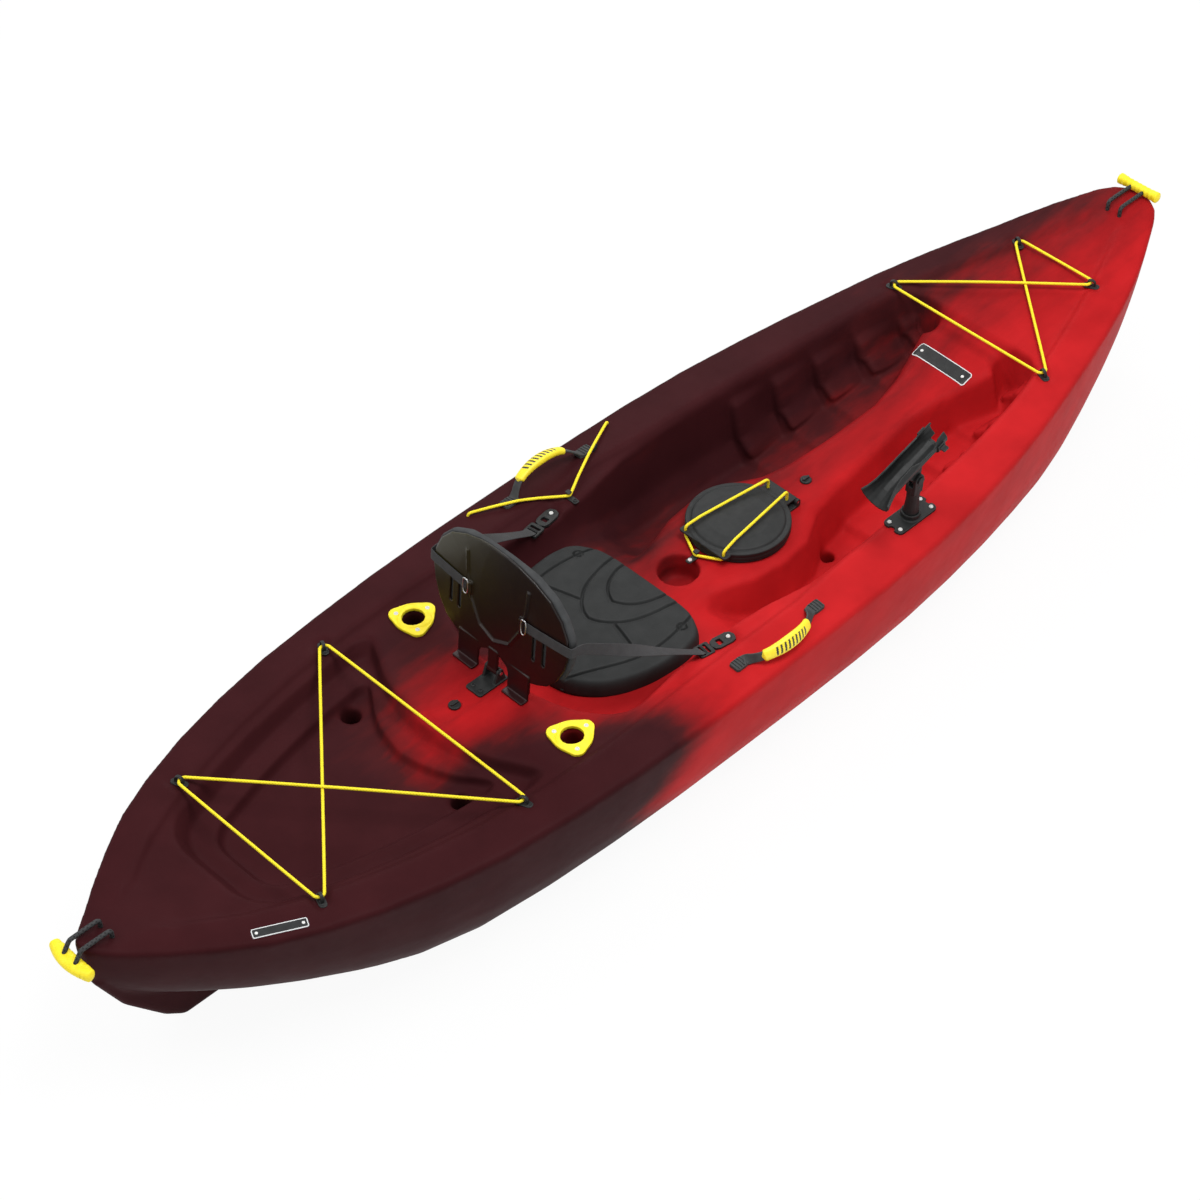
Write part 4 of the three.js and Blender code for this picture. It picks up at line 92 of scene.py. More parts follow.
HALF_ROUTES = {
    "hatch_bungee": (
        (324, 27, 269), (324, 27, 294.6), (323.4, 27.1, 297.9), (321.5, 27.3, 300.6),
        (318.7, 27.7, 302.4), (315.5, 28.1, 303), (142.9, 49.6, 299.7), (141.9, 49.7, 299.6),
        (108.6, 54.1, 294.9), (104.9, 54.5, 293.4), (102.3, 54.9, 290.5), (101.4, 55, 286.6),
        (101.4, 55, 277.9), (100.9, 54.1, 273.9), (99.7, 51.5, 270.9), (97.9, 48, 269.6),
        (75.5, 3.8, 266.2), (74.6, 0, 266.1),
    ),
    "bow_handle_rope": (
        (1425, 17, 406.3), (1425, 17, 443.6), (1426.2, 17, 448.2), (1429.6, 17, 451.6),
        (1434.2, 17, 452.8), (1503.8, 17, 452.8), (1507.3, 16.3, 452.8), (1510.3, 14.3, 452.8),
        (1512.3, 11.3, 452.8), (1513, 7.8, 452.8),
    ),
    "stern_handle_rope": (
        (-1463, 17, 321.8), (-1463, 17, 360.4), (-1464.2, 17, 365), (-1467.6, 17, 368.4),
        (-1472.2, 17, 369.6), (-1527, 17, 369.6), (-1531.4, 17, 368.5), (-1534.7, 17, 365.4),
        (-1548, 17, 344.7), (-1550.5, 15.8, 340.9), (-1552.3, 12.4, 338), (-1553, 7.8, 337),
    ),
}
for route_name, half_route in HALF_ROUTES.items():
    ROUTES[route_name] = half_route + tuple((x, -y, z) for x, y, z in reversed(half_route) if y)

# The same for webbing and bands: each place, and the direction of the band's width there. A
# direction comes with the number of places where it holds.

BAND_PLACES = {
    "strap_port": (
        (-487.7, 81.8, 506.6), (-483.5, 138.9, 506.3), (-477.5, 193.9, 505.7),
        (-474.6, 198.9, 505.5), (-449.6, 199.9, 505), (-409.8, 206.1, 479.7), (-370, 212.2, 454.3),
        (-330.2, 218.4, 429), (-290.4, 224.5, 403.6), (-250.6, 230.7, 378.3),
        (-210.8, 236.8, 352.9), (-170.9, 242.9, 327.6), (-161.2, 244.4, 327.3),
        (-160.7, 244.5, 320.4),
    ),
    "side_handle_strap_port": (
        (-136.1, 331, 340.4), (-130.4, 332.1, 344), (-121.1, 335.5, 354.7), (-111.8, 338.8, 365),
        (-95.8, 342.1, 375.4), (-70.2, 344.5, 383.5), (-41.6, 345.2, 386.3), (-12.9, 344.5, 384.8),
        (13.1, 342.1, 377.9), (29.5, 338.8, 368.2), (39.3, 335.5, 358.4), (49.1, 332.1, 348.1),
        (54.9, 331, 344.7),
    ),
    "side_handle_strap_starboard": (
        (-136.1, -331, 340.4), (-130.4, -334.4, 342), (-120.9, -344.4, 346.7),
        (-111.5, -354.1, 351.3), (-95.3, -363.8, 355.9), (-69.6, -370.9, 359.7), (-41, -373, 361.3),
        (-12.3, -370.9, 361), (13.5, -363.8, 358.4), (29.8, -354.1, 354.5), (39.5, -344.4, 350.4),
        (49.1, -334.4, 346.1), (54.9, -331, 344.7),
    ),
}
BAND_WIDTHS = {
    "strap_port": (
        ((0.087, 0, 0.996), 5), ((0.077, 0.064, 0.995), 1), ((0.044, 0.265, 0.963), 1),
        ((-0.019, 0.594, 0.804), 1), ((-0.09, 0.876, 0.475), 1), ((-0.131, 0.975, 0.179), 1),
        ((-0.147, 0.989, 0.027), 1), ((-0.149, 0.989, 0), 3),
    ),
}
# Those of the side handles go back the same way from the middle
HANDLE_WIDTHS = {
    "side_handle_strap_port": (
        ((0.002, 0.995, -0.104), 1), ((0.003, 0.993, -0.122), 1),
        ((0.006, 0.969, -0.248), 1), ((0.007, 0.951, -0.309), 7)),
    "side_handle_strap_starboard": (
        ((0.002, -0.995, -0.104), 1), ((0.004, -0.983, -0.182), 1),
        ((0.017, -0.657, -0.754), 1), ((0.021, -0.407, -0.913), 7)),
}
for band_name, half_widths in HANDLE_WIDTHS.items():
    BAND_WIDTHS[band_name] = half_widths + half_widths[-2::-1]
BANDS = {
    name: tuple(zip(places, [width for width, count in BAND_WIDTHS[name] for _ in range(count)]))
    for name, places in BAND_PLACES.items()}
BANDS["strap_starboard"] = tuple(
    ((x, -y, z), (a, -b, c)) for (x, y, z), (a, b, c) in BANDS["strap_port"])
GRIP_ENDS = {
    "port": ((-107.2, 339.7, 368), (24.8, 339.7, 371)),
    "starboard": ((-106.8, -356.9, 352.6), (25.1, -356.9, 355.6)),
}
for side_name, grip_ends in GRIP_ENDS.items():
    arch = BANDS[f"side_handle_strap_{side_name}"][4:9]
    (first_end, last_end), arch_width = grip_ends, arch[0][1]
    BANDS[f"side_handle_grip_{side_name}"] = (
        (first_end, arch_width), *arch, (last_end, arch_width))

# Colours and materials


def srgb(code):
    """A hex colour as linear red, green, blue and alpha."""
    parts = [int(code[i:i + 2], 16) / 255 for i in (1, 3, 5)]
    return [c / 12.92 if c <= 0.04045 else ((c + 0.055) / 1.055) ** 2.4 for c in parts] + [1.0]


def wired(tree, kind, inputs=(), **settings):
    """A new node with its settings. Each input is a value, or a socket to link."""
    made = tree.nodes.new(kind)
    for name, value in settings.items():
        setattr(made, name, value)
    for name, value in dict(inputs).items():
        if isinstance(value, bpy.types.NodeSocket):
            tree.links.new(value, made.inputs[name])
        else:
            made.inputs[name].default_value = value
    return made


class Look:
    """A material with short calls for the nodes that build it."""

    def __init__(self, name, **sockets):
        self.material = bpy.data.materials.new(name)
        self.material.use_nodes = True
        self.tree = self.material.node_tree
        self.shader = self.tree.nodes["Principled BSDF"]
        self.place = self.node("ShaderNodeTexCoord").outputs["Object"]
        for name, value in sockets.items():
            self.shader.inputs[name.replace("_", " ")].default_value = value

    def node(self, kind, inputs=(), **settings):
        return wired(self.tree, kind, inputs, **settings)

    def feed(self, name, socket):
        self.tree.links.new(socket, self.shader.inputs[name])

    def noise(self, scale, detail=3.0, place=None, roughness=0.55):
        return self.node("ShaderNodeTexNoise", {
            "Vector": place or self.place, "Scale": scale, "Detail": detail,
            "Roughness": roughness}).outputs["Fac"]

    def math(self, operation, *inputs):
        return self.node("ShaderNodeMath", dict(enumerate(inputs)), operation=operation).outputs[0]

    def ramp(self, factor, stops):
        made = self.node("ShaderNodeValToRGB", {"Fac": factor})
        points = made.color_ramp.elements
        while len(points) < len(stops):
            points.new(0.5)
        for point, (at, color) in zip(points, stops):
            point.position = at
            point.color = srgb(color) if isinstance(color, str) else [color] * 3 + [1.0]
        return made.outputs["Color"]

    def mix(self, factor, a, b, blend="MIX"):
        return self.node("ShaderNodeMix", {0: factor, 6: a, 7: b},
                         data_type="RGBA", blend_type=blend).outputs[2]

    def scaled(self, scale):
        made = self.node("ShaderNodeMapping", {"Vector": self.place, "Scale": scale})
        return made.outputs["Vector"]

    def attribute(self, name):
        return self.node("ShaderNodeAttribute", attribute_name=name).outputs["Fac"]

    def sheet(self):
        """The piece's own flat coordinates: metres along it, and a share across or round it."""
        place = self.node("ShaderNodeUVMap", uv_map="UVMap").outputs["UV"]
        split = self.node("ShaderNodeSeparateXYZ", {"Vector": place})
        return split.outputs["X"], split.outputs["Y"]

    def spread(self, value, low, high, to_low=0.0, to_high=1.0):
        return self.node("ShaderNodeMapRange", {
            "Value": value, "From Min": low, "From Max": high,
            "To Min": to_low, "To Max": to_high}).outputs["Result"]

    def bump(self, *layers):
        """Layers of height, each with its strength and its depth in metres."""
        below = {}
        for height, strength, depth in layers:
            made = self.node("ShaderNodeBump", {
                "Height": height, "Strength": strength, "Distance": depth, **below})
            below = {"Normal": made.outputs["Normal"]}
        self.feed("Normal", below["Normal"])

    def color(self, socket):
        self.feed("Base Color", socket)

    def clouded(self, base, factor, *stops):
        """Colours the piece, darker and lighter with a factor."""
        self.color(self.mix(1.0, base, self.ramp(factor, stops), "MULTIPLY"))

    def roughness(self, factor, low, high):
        self.feed("Roughness", self.spread(factor, 0.0, 1.0, low, high))


def hull_look():
    look = Look("rotomoulded_hull", Specular_IOR_Level=0.02)
    field = look.attribute("fade")
    for scale, detail, stretch, share in (
            (5.5, 4.0, (0.7, 1.3, 1.3), 0.22), (17.0, 6.0, (0.4, 1.6, 1.0), 0.2)):
        drift = look.noise(scale, detail, look.scaled(stretch))
        field = look.math("ADD", field, look.math("MULTIPLY_ADD", drift, share, -share / 2))
    base = look.ramp(look.spread(field, -0.12, 0.3), [
        (0.0, "#38171a"), (0.16, "#451a1c"), (0.3, "#681a1c"),
        (0.46, "#8a191c"), (0.72, "#ab1c1f"), (1.0, "#b52023")])
    look.clouded(base, look.noise(9.0, 5.0), (0.3, 0.86), (0.7, 1.08))
    look.roughness(look.noise(40.0, 3.0), 0.42, 0.54)
    look.bump((look.noise(28.0, 2.0), 0.12, 0.002), (look.noise(420.0, 2.0), 0.1, 0.0004))
    return look.material


def moulded_look(name, dark, light, rough=(0.42, 0.56), grain=700.0, painted_edge_highlight=None):
    """Moulded plastic: a fine grain, slight clouds, and convex edges made lighter as a painted
    highlight.
    """
    look = Look(name, Specular_IOR_Level=0.22)
    base = look.ramp(look.noise(55.0, 4.0), [(0.32, dark), (0.68, light)])
    if painted_edge_highlight:
        # Painted highlight: convex edges, found by their pointiness, are mixed in noisy patches
        # towards the lighter edge colour
        edge = look.node("ShaderNodeNewGeometry").outputs["Pointiness"]
        rim = look.ramp(edge, [(0.5, 0.0), (0.58, 1.0)])
        base = look.mix(look.math("MULTIPLY", rim, look.noise(180.0)), base, srgb(painted_edge_highlight))
    look.color(base)
    look.roughness(look.noise(90.0), *rough)
    look.bump((look.noise(grain, 2.0), 0.14, 0.0003))
    return look.material


def cord_look(name, dark, light, pitch, depth):
    """A braided sheath: two sets of strands that cross as they wind round the cord."""
    look = Look(name, Roughness=0.62, Specular_IOR_Level=0.2)
    along, around = look.sheet()
    turns = look.math("MULTIPLY", along, 1 / pitch)
    heights = []
    for way in (3.0, -3.0):
        phase = look.math("ADD", turns, look.math("MULTIPLY", around, way))
        heights.append(look.math("SINE", look.math("MULTIPLY", phase, 2 * math.pi)))
    weave = look.math("MULTIPLY_ADD", look.math("MAXIMUM", *heights), 0.5, 0.5)
    base = look.ramp(weave, [(0.2, dark), (0.75, light)])
    look.clouded(base, look.noise(120.0), (0.3, 0.93), (0.7, 1.05))
    look.bump((weave, 0.5, depth), (look.noise(1500.0), 0.2, 0.0002))
    return look.material


def web_look():
    """Woven webbing: ribs along it, crossed by fine picks."""
    look = Look("woven_webbing", Roughness=0.7, Specular_IOR_Level=0.2)
    along, across = look.sheet()
    ribs, pick_pitch = 9, 0.0021
    rib = look.math("SINE", look.math("MULTIPLY", across, 2 * math.pi * ribs))
    pick = look.math("SINE", look.math("MULTIPLY", along, 2 * math.pi / pick_pitch))
    weave = look.math("MULTIPLY_ADD", look.math("MULTIPLY", rib, pick), 0.5, 0.5)
    base = look.ramp(weave, [(0.0, "#2c2c2d"), (1.0, "#4d4d4e")])
    look.clouded(base, look.noise(60.0), (0.3, 0.88), (0.7, 1.08))
    look.bump((weave, 0.5, 0.0005))
    return look.material


def foam_look(name, dark, light, rough):
    """Dense foam: a fine cell grain and faint clouds."""
    look = Look(name, Roughness=rough, Specular_IOR_Level=0.15)
    cells = look.node("ShaderNodeTexVoronoi", {
        "Vector": look.place, "Scale": 620.0}).outputs["Distance"]
    base = look.ramp(look.noise(26.0, 5.0), [(0.3, dark), (0.7, light)])
    look.clouded(base, cells, (0.0, 0.86), (0.5, 1.05))
    look.bump((cells, 0.3, 0.0006), (look.noise(70.0, 4.0), 0.15, 0.0012))
    return look.material


def grip_look():
    """Yellow moulding with painted shade in its slots: where an attribute marks a slot, it is
    coloured near black.
    """
    look = Look("yellow_grip", Specular_IOR_Level=0.45)
    base = look.ramp(look.noise(50.0, 4.0), [(0.3, "#f3dc24"), (0.7, "#fae637")])
    # Painted shade: the shallow slot dents are coloured near black, as the shade inside deep slots
    # would look
    look.color(look.mix(look.attribute("slot"), base, srgb("#2a2a29")))
    look.roughness(look.noise(80.0), 0.38, 0.5)
    look.bump((look.noise(600.0), 0.1, 0.0003))
    return look.material


def metal_look(name, dark, light, rough):
    look = Look(name, Metallic=1.0, Roughness=rough)
    look.color(look.ramp(look.noise(300.0, 4.0), [(0.3, dark), (0.7, light)]))
    look.bump((look.noise(900.0, 2.0), 0.08, 0.0002))
    return look.material


def back_look():
    """The backrest's glossy moulded back: near black, olive up on one side, maroon low down."""
    look = Look("backrest_shell", Specular_IOR_Level=0.3)
    place = look.node("ShaderNodeSeparateXYZ", {"Vector": look.place}).outputs
    up, side = look.spread(place["Z"], 0.34, 0.64), look.spread(place["Y"], -0.02, 0.17)
    low = look.ramp(up, [(0.0, "#280d0e"), (0.45, "#1b0e0d"), (1.0, "#171110")])
    look.color(look.mix(look.math("MULTIPLY", up, side), low, srgb("#33300c")))
    look.roughness(look.noise(60.0), 0.28, 0.4)
    look.bump((look.noise(800.0, 2.0), 0.08, 0.0002))
    return look.material


# Each look with the slot that its pieces belong to
# Where a moulded look gets a third colour, that colour is a painted highlight on its convex edges
LOOKS = {
    "hull": (hull_look(), "hull_plastic"),
    "black": (
        moulded_look("black_moulding", "#1d1e1e", "#272828", painted_edge_highlight="#3f4040"),
        "black_plastic"),
    "lid": (
        moulded_look("lid_moulding", "#1f2020", "#262727", (0.5, 0.62), 900.0, painted_edge_highlight="#383939"),
        "black_plastic"),
    "back": (back_look(), "black_plastic"),
    "yellow": (
        moulded_look("yellow_moulding", "#f3dc24", "#fae637", (0.36, 0.48), 600.0),
        "yellow_plastic"),
    "grip": (grip_look(), "yellow_plastic"),
    "rubber": (
        moulded_look("black_rubber", "#262626", "#303131", (0.62, 0.75), 1100.0, painted_edge_highlight="#454545"),
        "black_rubber"),
    "band": (
        moulded_look("strap_rubber", "#323333", "#3f4040", (0.55, 0.68), 1100.0, painted_edge_highlight="#5d5e5e"),
        "black_plastic"),
    "steel": (metal_look("steel", "#b9bbbd", "#dcdddd", 0.28), "steel"),
    "head": (moulded_look("screw_head", "#d2d3d1", "#e6e6e3", (0.25, 0.35), 500.0), "steel"),
    "pad": (foam_look("pad_skin", "#262727", "#2e2f2f", 0.66), "pad_foam"),
    "foam": (foam_look("back_foam", "#38393a", "#454647", 0.85), "grey_foam"),
    "cord": (cord_look("yellow_bungee", "#dcc61c", "#fde834", 0.006, 0.0003), "yellow_cord"),
    "rope": (cord_look("black_rope", "#1b1b1c", "#393a3b", 0.01, 0.0006), "black_webbing"),
    "web": (web_look(), "black_webbing"),
    "plate": (
        moulded_look("bare_plate", "#1d1d1e", "#272828", (0.35, 0.45), 800.0),
        "black_plastic"),
    "edge": (moulded_look("plate_edge", "#c9cbcc", "#dfe0e0", (0.3, 0.4), 800.0), "steel"),
}

# Meshes


def smooth(table):
    """A smooth curve through a table of places and values, which never overshoots."""
    x, y = np.array(table, float).T
    steps = np.diff(y) / np.diff(x)
    slopes = np.concatenate(([steps[0]], np.zeros(len(x) - 2), [steps[-1]]))
    same = steps[:-1] * steps[1:] > 0
    a, b = steps[:-1][same], steps[1:][same]
    slopes[1:-1][same] = 2 * a * b / (a + b)

    def at(t):
        t = np.clip(t, x[0], x[-1])
        i = np.clip(np.searchsorted(x, t) - 1, 0, len(x) - 2)
        run = x[i + 1] - x[i]
        s = (t - x[i]) / run
        near, far = (1 + 2 * s) * (1 - s) ** 2, s * s * (3 - 2 * s)
        return (y[i] * near + slopes[i] * run * s * (1 - s) ** 2
                + y[i + 1] * far + slopes[i + 1] * run * s * s * (s - 1))
    return at


def near_line(u, v, line):
    """Distance from points to an open line."""
    far = np.full(len(u), np.inf)
    for (ax, ay), (bx, by) in zip(line, line[1:]):
        run, rise = bx - ax, by - ay
        t = np.clip(((u - ax) * run + (v - ay) * rise) / (run * run + rise * rise), 0, 1)
        far = np.minimum(far, np.hypot(u - ax - t * run, v - ay - t * rise))
    return far


def step(value, low, high):
    """A smooth step from 0 at low to 1 at high."""
    t = np.clip((value - low) / (high - low), 0, 1)
    return t * t * (3 - 2 * t)


def finished(obj, look, body, stands_for=(), sharp=None):
    """Gives a piece its look and body. Edges bent past the sharp angle stay crisp."""
    mesh = obj.data
    material, slot = LOOKS[look]
    mesh.materials.clear()
    mesh.materials.append(material)
    mesh.polygons.foreach_set("use_smooth", np.ones(len(mesh.polygons), bool))
    if sharp:
        work = bmesh.new()
        work.from_mesh(mesh)
        for edge in work.edges:
            edge.smooth = not edge.is_manifold or edge.calc_face_angle() < math.radians(sharp)
        work.to_mesh(mesh)
        work.free()
    mesh.update()
    if body:
        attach(obj, body)
    if stands_for:
        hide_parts(*stands_for)
    return obj


def linked(name, data):
    """A new object in the scene."""
    obj = bpy.data.objects.new(name, data)
    bpy.context.scene.collection.objects.link(obj)
    return obj


def made(name, points, faces, look, body, stands_for=(), sharp=None, flat=None):
    """A piece from points and faces, with flat coordinates for each face corner where given."""
    mesh = bpy.data.meshes.new(name)
    mesh.from_pydata([tuple(map(float, p)) for p in points], [], faces)
    mesh.validate()
    if flat is not None:
        layer = mesh.uv_layers.new(name="UVMap")
        layer.data.foreach_set("uv", np.array(flat, np.float32).ravel())
    return finished(linked(name, mesh), look, body, stands_for, sharp)


def table_of(items, field, width=3, kind=float):
    """A row of numbers for each item of a mesh."""
    flat = np.zeros(len(items) * width, kind)
    items.foreach_get(field, flat)
    return flat.reshape(-1, width)


def points_of(mesh):
    return table_of(mesh.vertices, "co")


def normals_of(mesh):
    return table_of(mesh.vertex_normals, "vector")


def edges_of(mesh):
    return table_of(mesh.edges, "vertices", 2, np.int32)


def marked(mesh, name, values):
    """Gives each point of a mesh a value that its look reads."""
    data = mesh.attributes.new(name, "FLOAT", "POINT").data
    data.foreach_set("value", values.astype(np.float32))


def put_points(mesh, points):
    mesh.vertices.foreach_set("co", np.asarray(points, np.float32).ravel())
    mesh.update()


def neighbour_sum(values, edges):
    count = len(values)
    return np.stack([
        np.bincount(edges[:, 0], values[edges[:, 1], k], count)
        + np.bincount(edges[:, 1], values[edges[:, 0], k], count)
        for k in range(values.shape[1])], axis=1)


def relaxed(points, edges, passes, weight=1.0):
    """Draws each point half way to its neighbours' middle, as far as its weight lets it."""
    degree = np.maximum(np.bincount(edges.ravel(), minlength=len(points)), 1)[:, None]
    share = 0.5 * np.broadcast_to(np.asarray(weight, float).reshape(-1, 1), (len(points), 1))
    for _ in range(passes):
        points = points + share * (neighbour_sum(points, edges) / degree - points)
    return points


def remeshed(name, node, voxel):
    """A fine, even copy of a CAD node's mesh."""
    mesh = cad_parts[node].data.copy()
    work = bmesh.new()
    work.from_mesh(mesh)
    bmesh.ops.remove_doubles(work, verts=work.verts, dist=1e-6)
    work.to_mesh(mesh)
    work.free()
    obj = linked(name, mesh)
    change = obj.modifiers.new("even", "REMESH")
    change.mode, change.voxel_size, change.adaptivity = "VOXEL", voxel, 0.0
    graph = bpy.context.evaluated_depsgraph_get()
    fine = bpy.data.meshes.new_from_object(obj.evaluated_get(graph))
    obj.modifiers.clear()
    obj.data = fine
    return obj


def softened(node, look, body, voxel, passes, shape=None):
    """A CAD node with its edges rounded as a mould rounds them. Shape may move its points first."""
    obj = remeshed(f"{node}_moulded", node, voxel * MM)
    points, edges = points_of(obj.data), edges_of(obj.data)
    if shape:
        points = shape(points)
    put_points(obj.data, relaxed(points, edges, passes))
    return finished(obj, look, body, [node])


def chaikin(points, closed, rounds=2):
    """Cuts a route's corners. Straight runs stay straight and the ends stay in place."""
    points = np.asarray(points, float)
    for _ in range(rounds):
        after = np.roll(points, -1, axis=0) if closed else points[1:]
        before = points if closed else points[:-1]
        pairs = np.stack([before * 0.75 + after * 0.25, before * 0.25 + after * 0.75], axis=1)
        cut = pairs.reshape(-1, points.shape[1])
        points = cut if closed else np.vstack([points[:1], cut[1:-1], points[-1:]])
    return points


def refined(points, spacing, closed=False):
    """Adds points so that none are further apart than the spacing, by their first three values."""
    ends = list(points[1:]) + ([points[0]] if closed else [])
    out = []
    for a, b in zip(points, ends):
        count = max(1, math.ceil(np.linalg.norm((b - a)[:3]) / spacing))
        out += [a + (b - a) * k / count for k in range(count)]
    if not closed:
        out.append(points[-1])
    return np.array(out)


def unit(v):
    """Vectors brought to length 1."""
    return v / np.maximum(np.linalg.norm(v, axis=-1, keepdims=True), 1e-12)


def tangents(points, closed):
    if closed:
        return unit(np.roll(points, -1, axis=0) - np.roll(points, 1, axis=0))
    return unit(np.gradient(points, axis=0))


def lengths_along(points):
    return np.cumsum(np.concatenate(([0], np.linalg.norm(np.diff(points, axis=0), axis=1))))


def swept(name, points, sections, widths, look, body, stands_for=(), closed=False):
    """A skin along a route. Sections hold each ring's points along its side and top vectors."""
    rings, around = sections.shape[:2]
    along = lengths_along(points)
    ahead = tangents(points, closed)
    sides = unit(widths - np.sum(widths * ahead, axis=1, keepdims=True) * ahead)
    tops = np.cross(ahead, sides)
    across, up = sections[:, :, :1], sections[:, :, 1:2]
    skin = points[:, None] + across * sides[:, None] + up * tops[:, None]
    closing = np.linalg.norm(points[0] - points[-1])
    faces, flat = [], []
    for k in range(rings if closed else rings - 1):
        n = (k + 1) % rings
        u0, u1 = along[k], along[n] if n else along[-1] + closing
        for i in range(around):
            j = (i + 1) % around
            faces.append((k * around + i, k * around + j, n * around + j, n * around + i))
            v0, v1 = i / around, (i + 1) / around
            flat += [(u0, v0), (u0, v1), (u1, v1), (u1, v0)]
    skin = skin.reshape(-1, 3)
    if not closed:
        for ring, turn in ((0, -1), (rings - 1, 1)):
            ids = [ring * around + i for i in range(around)][::turn]
            skin = np.vstack([skin, skin[ids].mean(axis=0)])
            for i in range(around):
                faces.append((len(skin) - 1, ids[i], ids[(i + 1) % around]))
                flat += [(along[ring], 0.0)] * 3
    return made(name, skin, faces, look, body, stands_for, flat=flat)


def carried(points, first):
    """A side vector for each point of a route, carried along it without twist."""
    ahead = tangents(points, False)
    side, out = np.asarray(first, float), []
    for way in ahead:
        side = unit(side - np.dot(side, way) * way)
        out.append(side)
    return np.array(out)


def tube(name, route, radius, look, body, stands_for=(), closed=False, sides=14, spacing=0.02):
    """A round cord along a route in millimetres."""
    points = refined(chaikin(np.array(route) * MM, closed), spacing, closed)
    turn = np.arange(sides) * 2 * math.pi / sides
    ring = radius * np.stack([np.cos(turn), np.sin(turn)], axis=1)
    sections = np.repeat(ring[None], len(points), axis=0)
    if closed:
        widths = np.tile((0.0, 0.0, 1.0), (len(points), 1))
    else:
        widths = carried(points, (0.31, 0.12, 0.94))
    return swept(name, points, sections, widths, look, body, stands_for, closed)


def rounded_section(half_width, half_height, power=4.0, count=28):
    """A flat oval with full sides."""
    turn = (np.arange(count) + 0.5) * 2 * math.pi / count
    c, s = np.cos(turn), np.sin(turn)
    return np.stack([
        half_width * np.sign(c) * np.abs(c) ** (2 / power),
        half_height * np.sign(s) * np.abs(s) ** (2 / power)], axis=1)


def band_points(band, spacing):
    """A band's middle line and its width directions, cut smooth together."""
    both = refined(chaikin([[*(c * MM for c in p), *w] for p, w in band], False), spacing)
    return both[:, :3], both[:, 3:]


def framed(x, y, z, place):
    """A matrix from three directions and a place."""
    matrix = Matrix((x, y, z)).transposed().to_4x4()
    matrix.translation = place
    return matrix


def axes(place, x, z):
    """A frame with its place in millimetres, its X and its Z."""
    z = Vector(z).normalized()
    x = (Vector(x) - Vector(x).dot(z) * z).normalized()
    return framed(x, z.cross(x), z, Vector(place) * MM)


def placed(matrix, points):
    m = np.array(matrix)
    return np.asarray(points, float) * MM @ m[:3, :3].T + m[:3, 3]


def block_faces(rows, columns):
    """Faces of a block: a grid of points on top, the same grid below, and the wall between them."""
    count = rows * columns
    faces = []
    for i in range(rows - 1):
        for j in range(columns - 1):
            a, b = i * columns + j, (i + 1) * columns + j
            faces.append((a, b, b + 1, a + 1))
            faces.append((a + count + 1, b + count + 1, b + count, a + count))
    rim = [i * columns for i in range(rows)]
    rim += [(rows - 1) * columns + j for j in range(1, columns)]
    rim += [i * columns + columns - 1 for i in range(rows - 2, -1, -1)]
    rim += range(columns - 2, 0, -1)
    return faces + [(b, a, a + count, b + count) for a, b in zip(rim, rim[1:] + rim[:1])]


def rolled(share, power=2.4):
    """Height of a rolled edge, from 0 at its foot to 1 where it meets the top."""
    return (1 - (1 - share) ** power) ** (1 / power)


def slab(name, matrix, u_range, half, top, look, body, stands_for=(), grid=(40, 30), sharp=None):
    """A moulded block in millimetres: half gives its half width at u, top its height at u and v."""
    us = np.linspace(*u_range, grid[0])
    even = np.linspace(-1, 1, grid[1])
    shares = 0.5 * np.sin(even * math.pi / 2) + 0.5 * even
    u = np.repeat(us, grid[1])
    v = (half(us)[:, None] * shares[None]).ravel()
    points = np.vstack([np.stack([u, v, top(u, v)], 1), np.stack([u, v, np.zeros(len(u))], 1)])
    return made(name, placed(matrix, points), block_faces(*grid), look, body, stands_for, sharp)


def pan_head(name, place, axis, radius, height, look, body, stands_for=(), recess=0.5):
    """A domed screw head with a cross recess. Place is the middle of its underside, in metres."""
    rings, spokes, arm_half, arm_reach = 9, 32, 0.13, 0.55
    m = axes((0, 0, 0), (0.9, 0.31, 0.29), axis)
    m.translation = Vector(place)
    turn = np.tile(np.arange(spokes) * 2 * math.pi / spokes, rings)
    share = np.repeat(np.arange(1, rings + 1) / rings, spokes)
    x, y = share * np.cos(turn), share * np.sin(turn)
    near, far = np.minimum(abs(x), abs(y)), np.maximum(abs(x), abs(y))
    arm = (near < arm_half) & (far < arm_reach)
    z = height * np.sqrt(1 - share ** 4) - height * recess * arm
    points = [(0, 0, height - height * recess), *zip(x * radius, y * radius, z)]
    faces = [(0, 1 + i, 1 + (i + 1) % spokes) for i in range(spokes)]
    for k in range(rings - 1):
        for i in range(spokes):
            a, b = 1 + k * spokes + i, 1 + k * spokes + (i + 1) % spokes
            faces.append((a, a + spokes, b + spokes, b))
    faces.append(tuple(1 + (rings - 1) * spokes + i for i in reversed(range(spokes))))
    return made(name, placed(m, points), faces, look, body, stands_for, sharp=50)

# Hull: the CAD shape with moulded radii, its facets smoothed out, and the two colours that drift
# into each other

# Outline of the bright red field seen from above, in metres
RED_FIELD = (
    (-0.72, 0.07), (-0.49, 0.085), (-0.23, 0.09), (0.03, 0.1), (0.19, 0.13), (0.4, 0.124),
    (0.82, 0.12), (1.0, 0.115), (1.2, 0.09), (1.36, 0.08), (1.62, 0.07), (1.7, -0.7),
    (-0.44, -0.7), (-0.36, -0.45), (-0.3, -0.366), (-0.36, -0.29), (-0.45, -0.24), (-0.54, -0.12),
    (-0.71, -0.045),
)


def field_distance(x, y):
    """Distance to the red field's outline, positive inside it."""
    outline = (*RED_FIELD, RED_FIELD[0])
    far = near_line(x, y, outline)
    inside = np.zeros(len(x), bool)
    for (ax, ay), (bx, by) in zip(outline, outline[1:]):
        if by != ay:
            inside ^= ((ay > y) != (by > y)) & (x < ax + (y - ay) * (bx - ax) / (by - ay))
    return np.where(inside, far, -far)


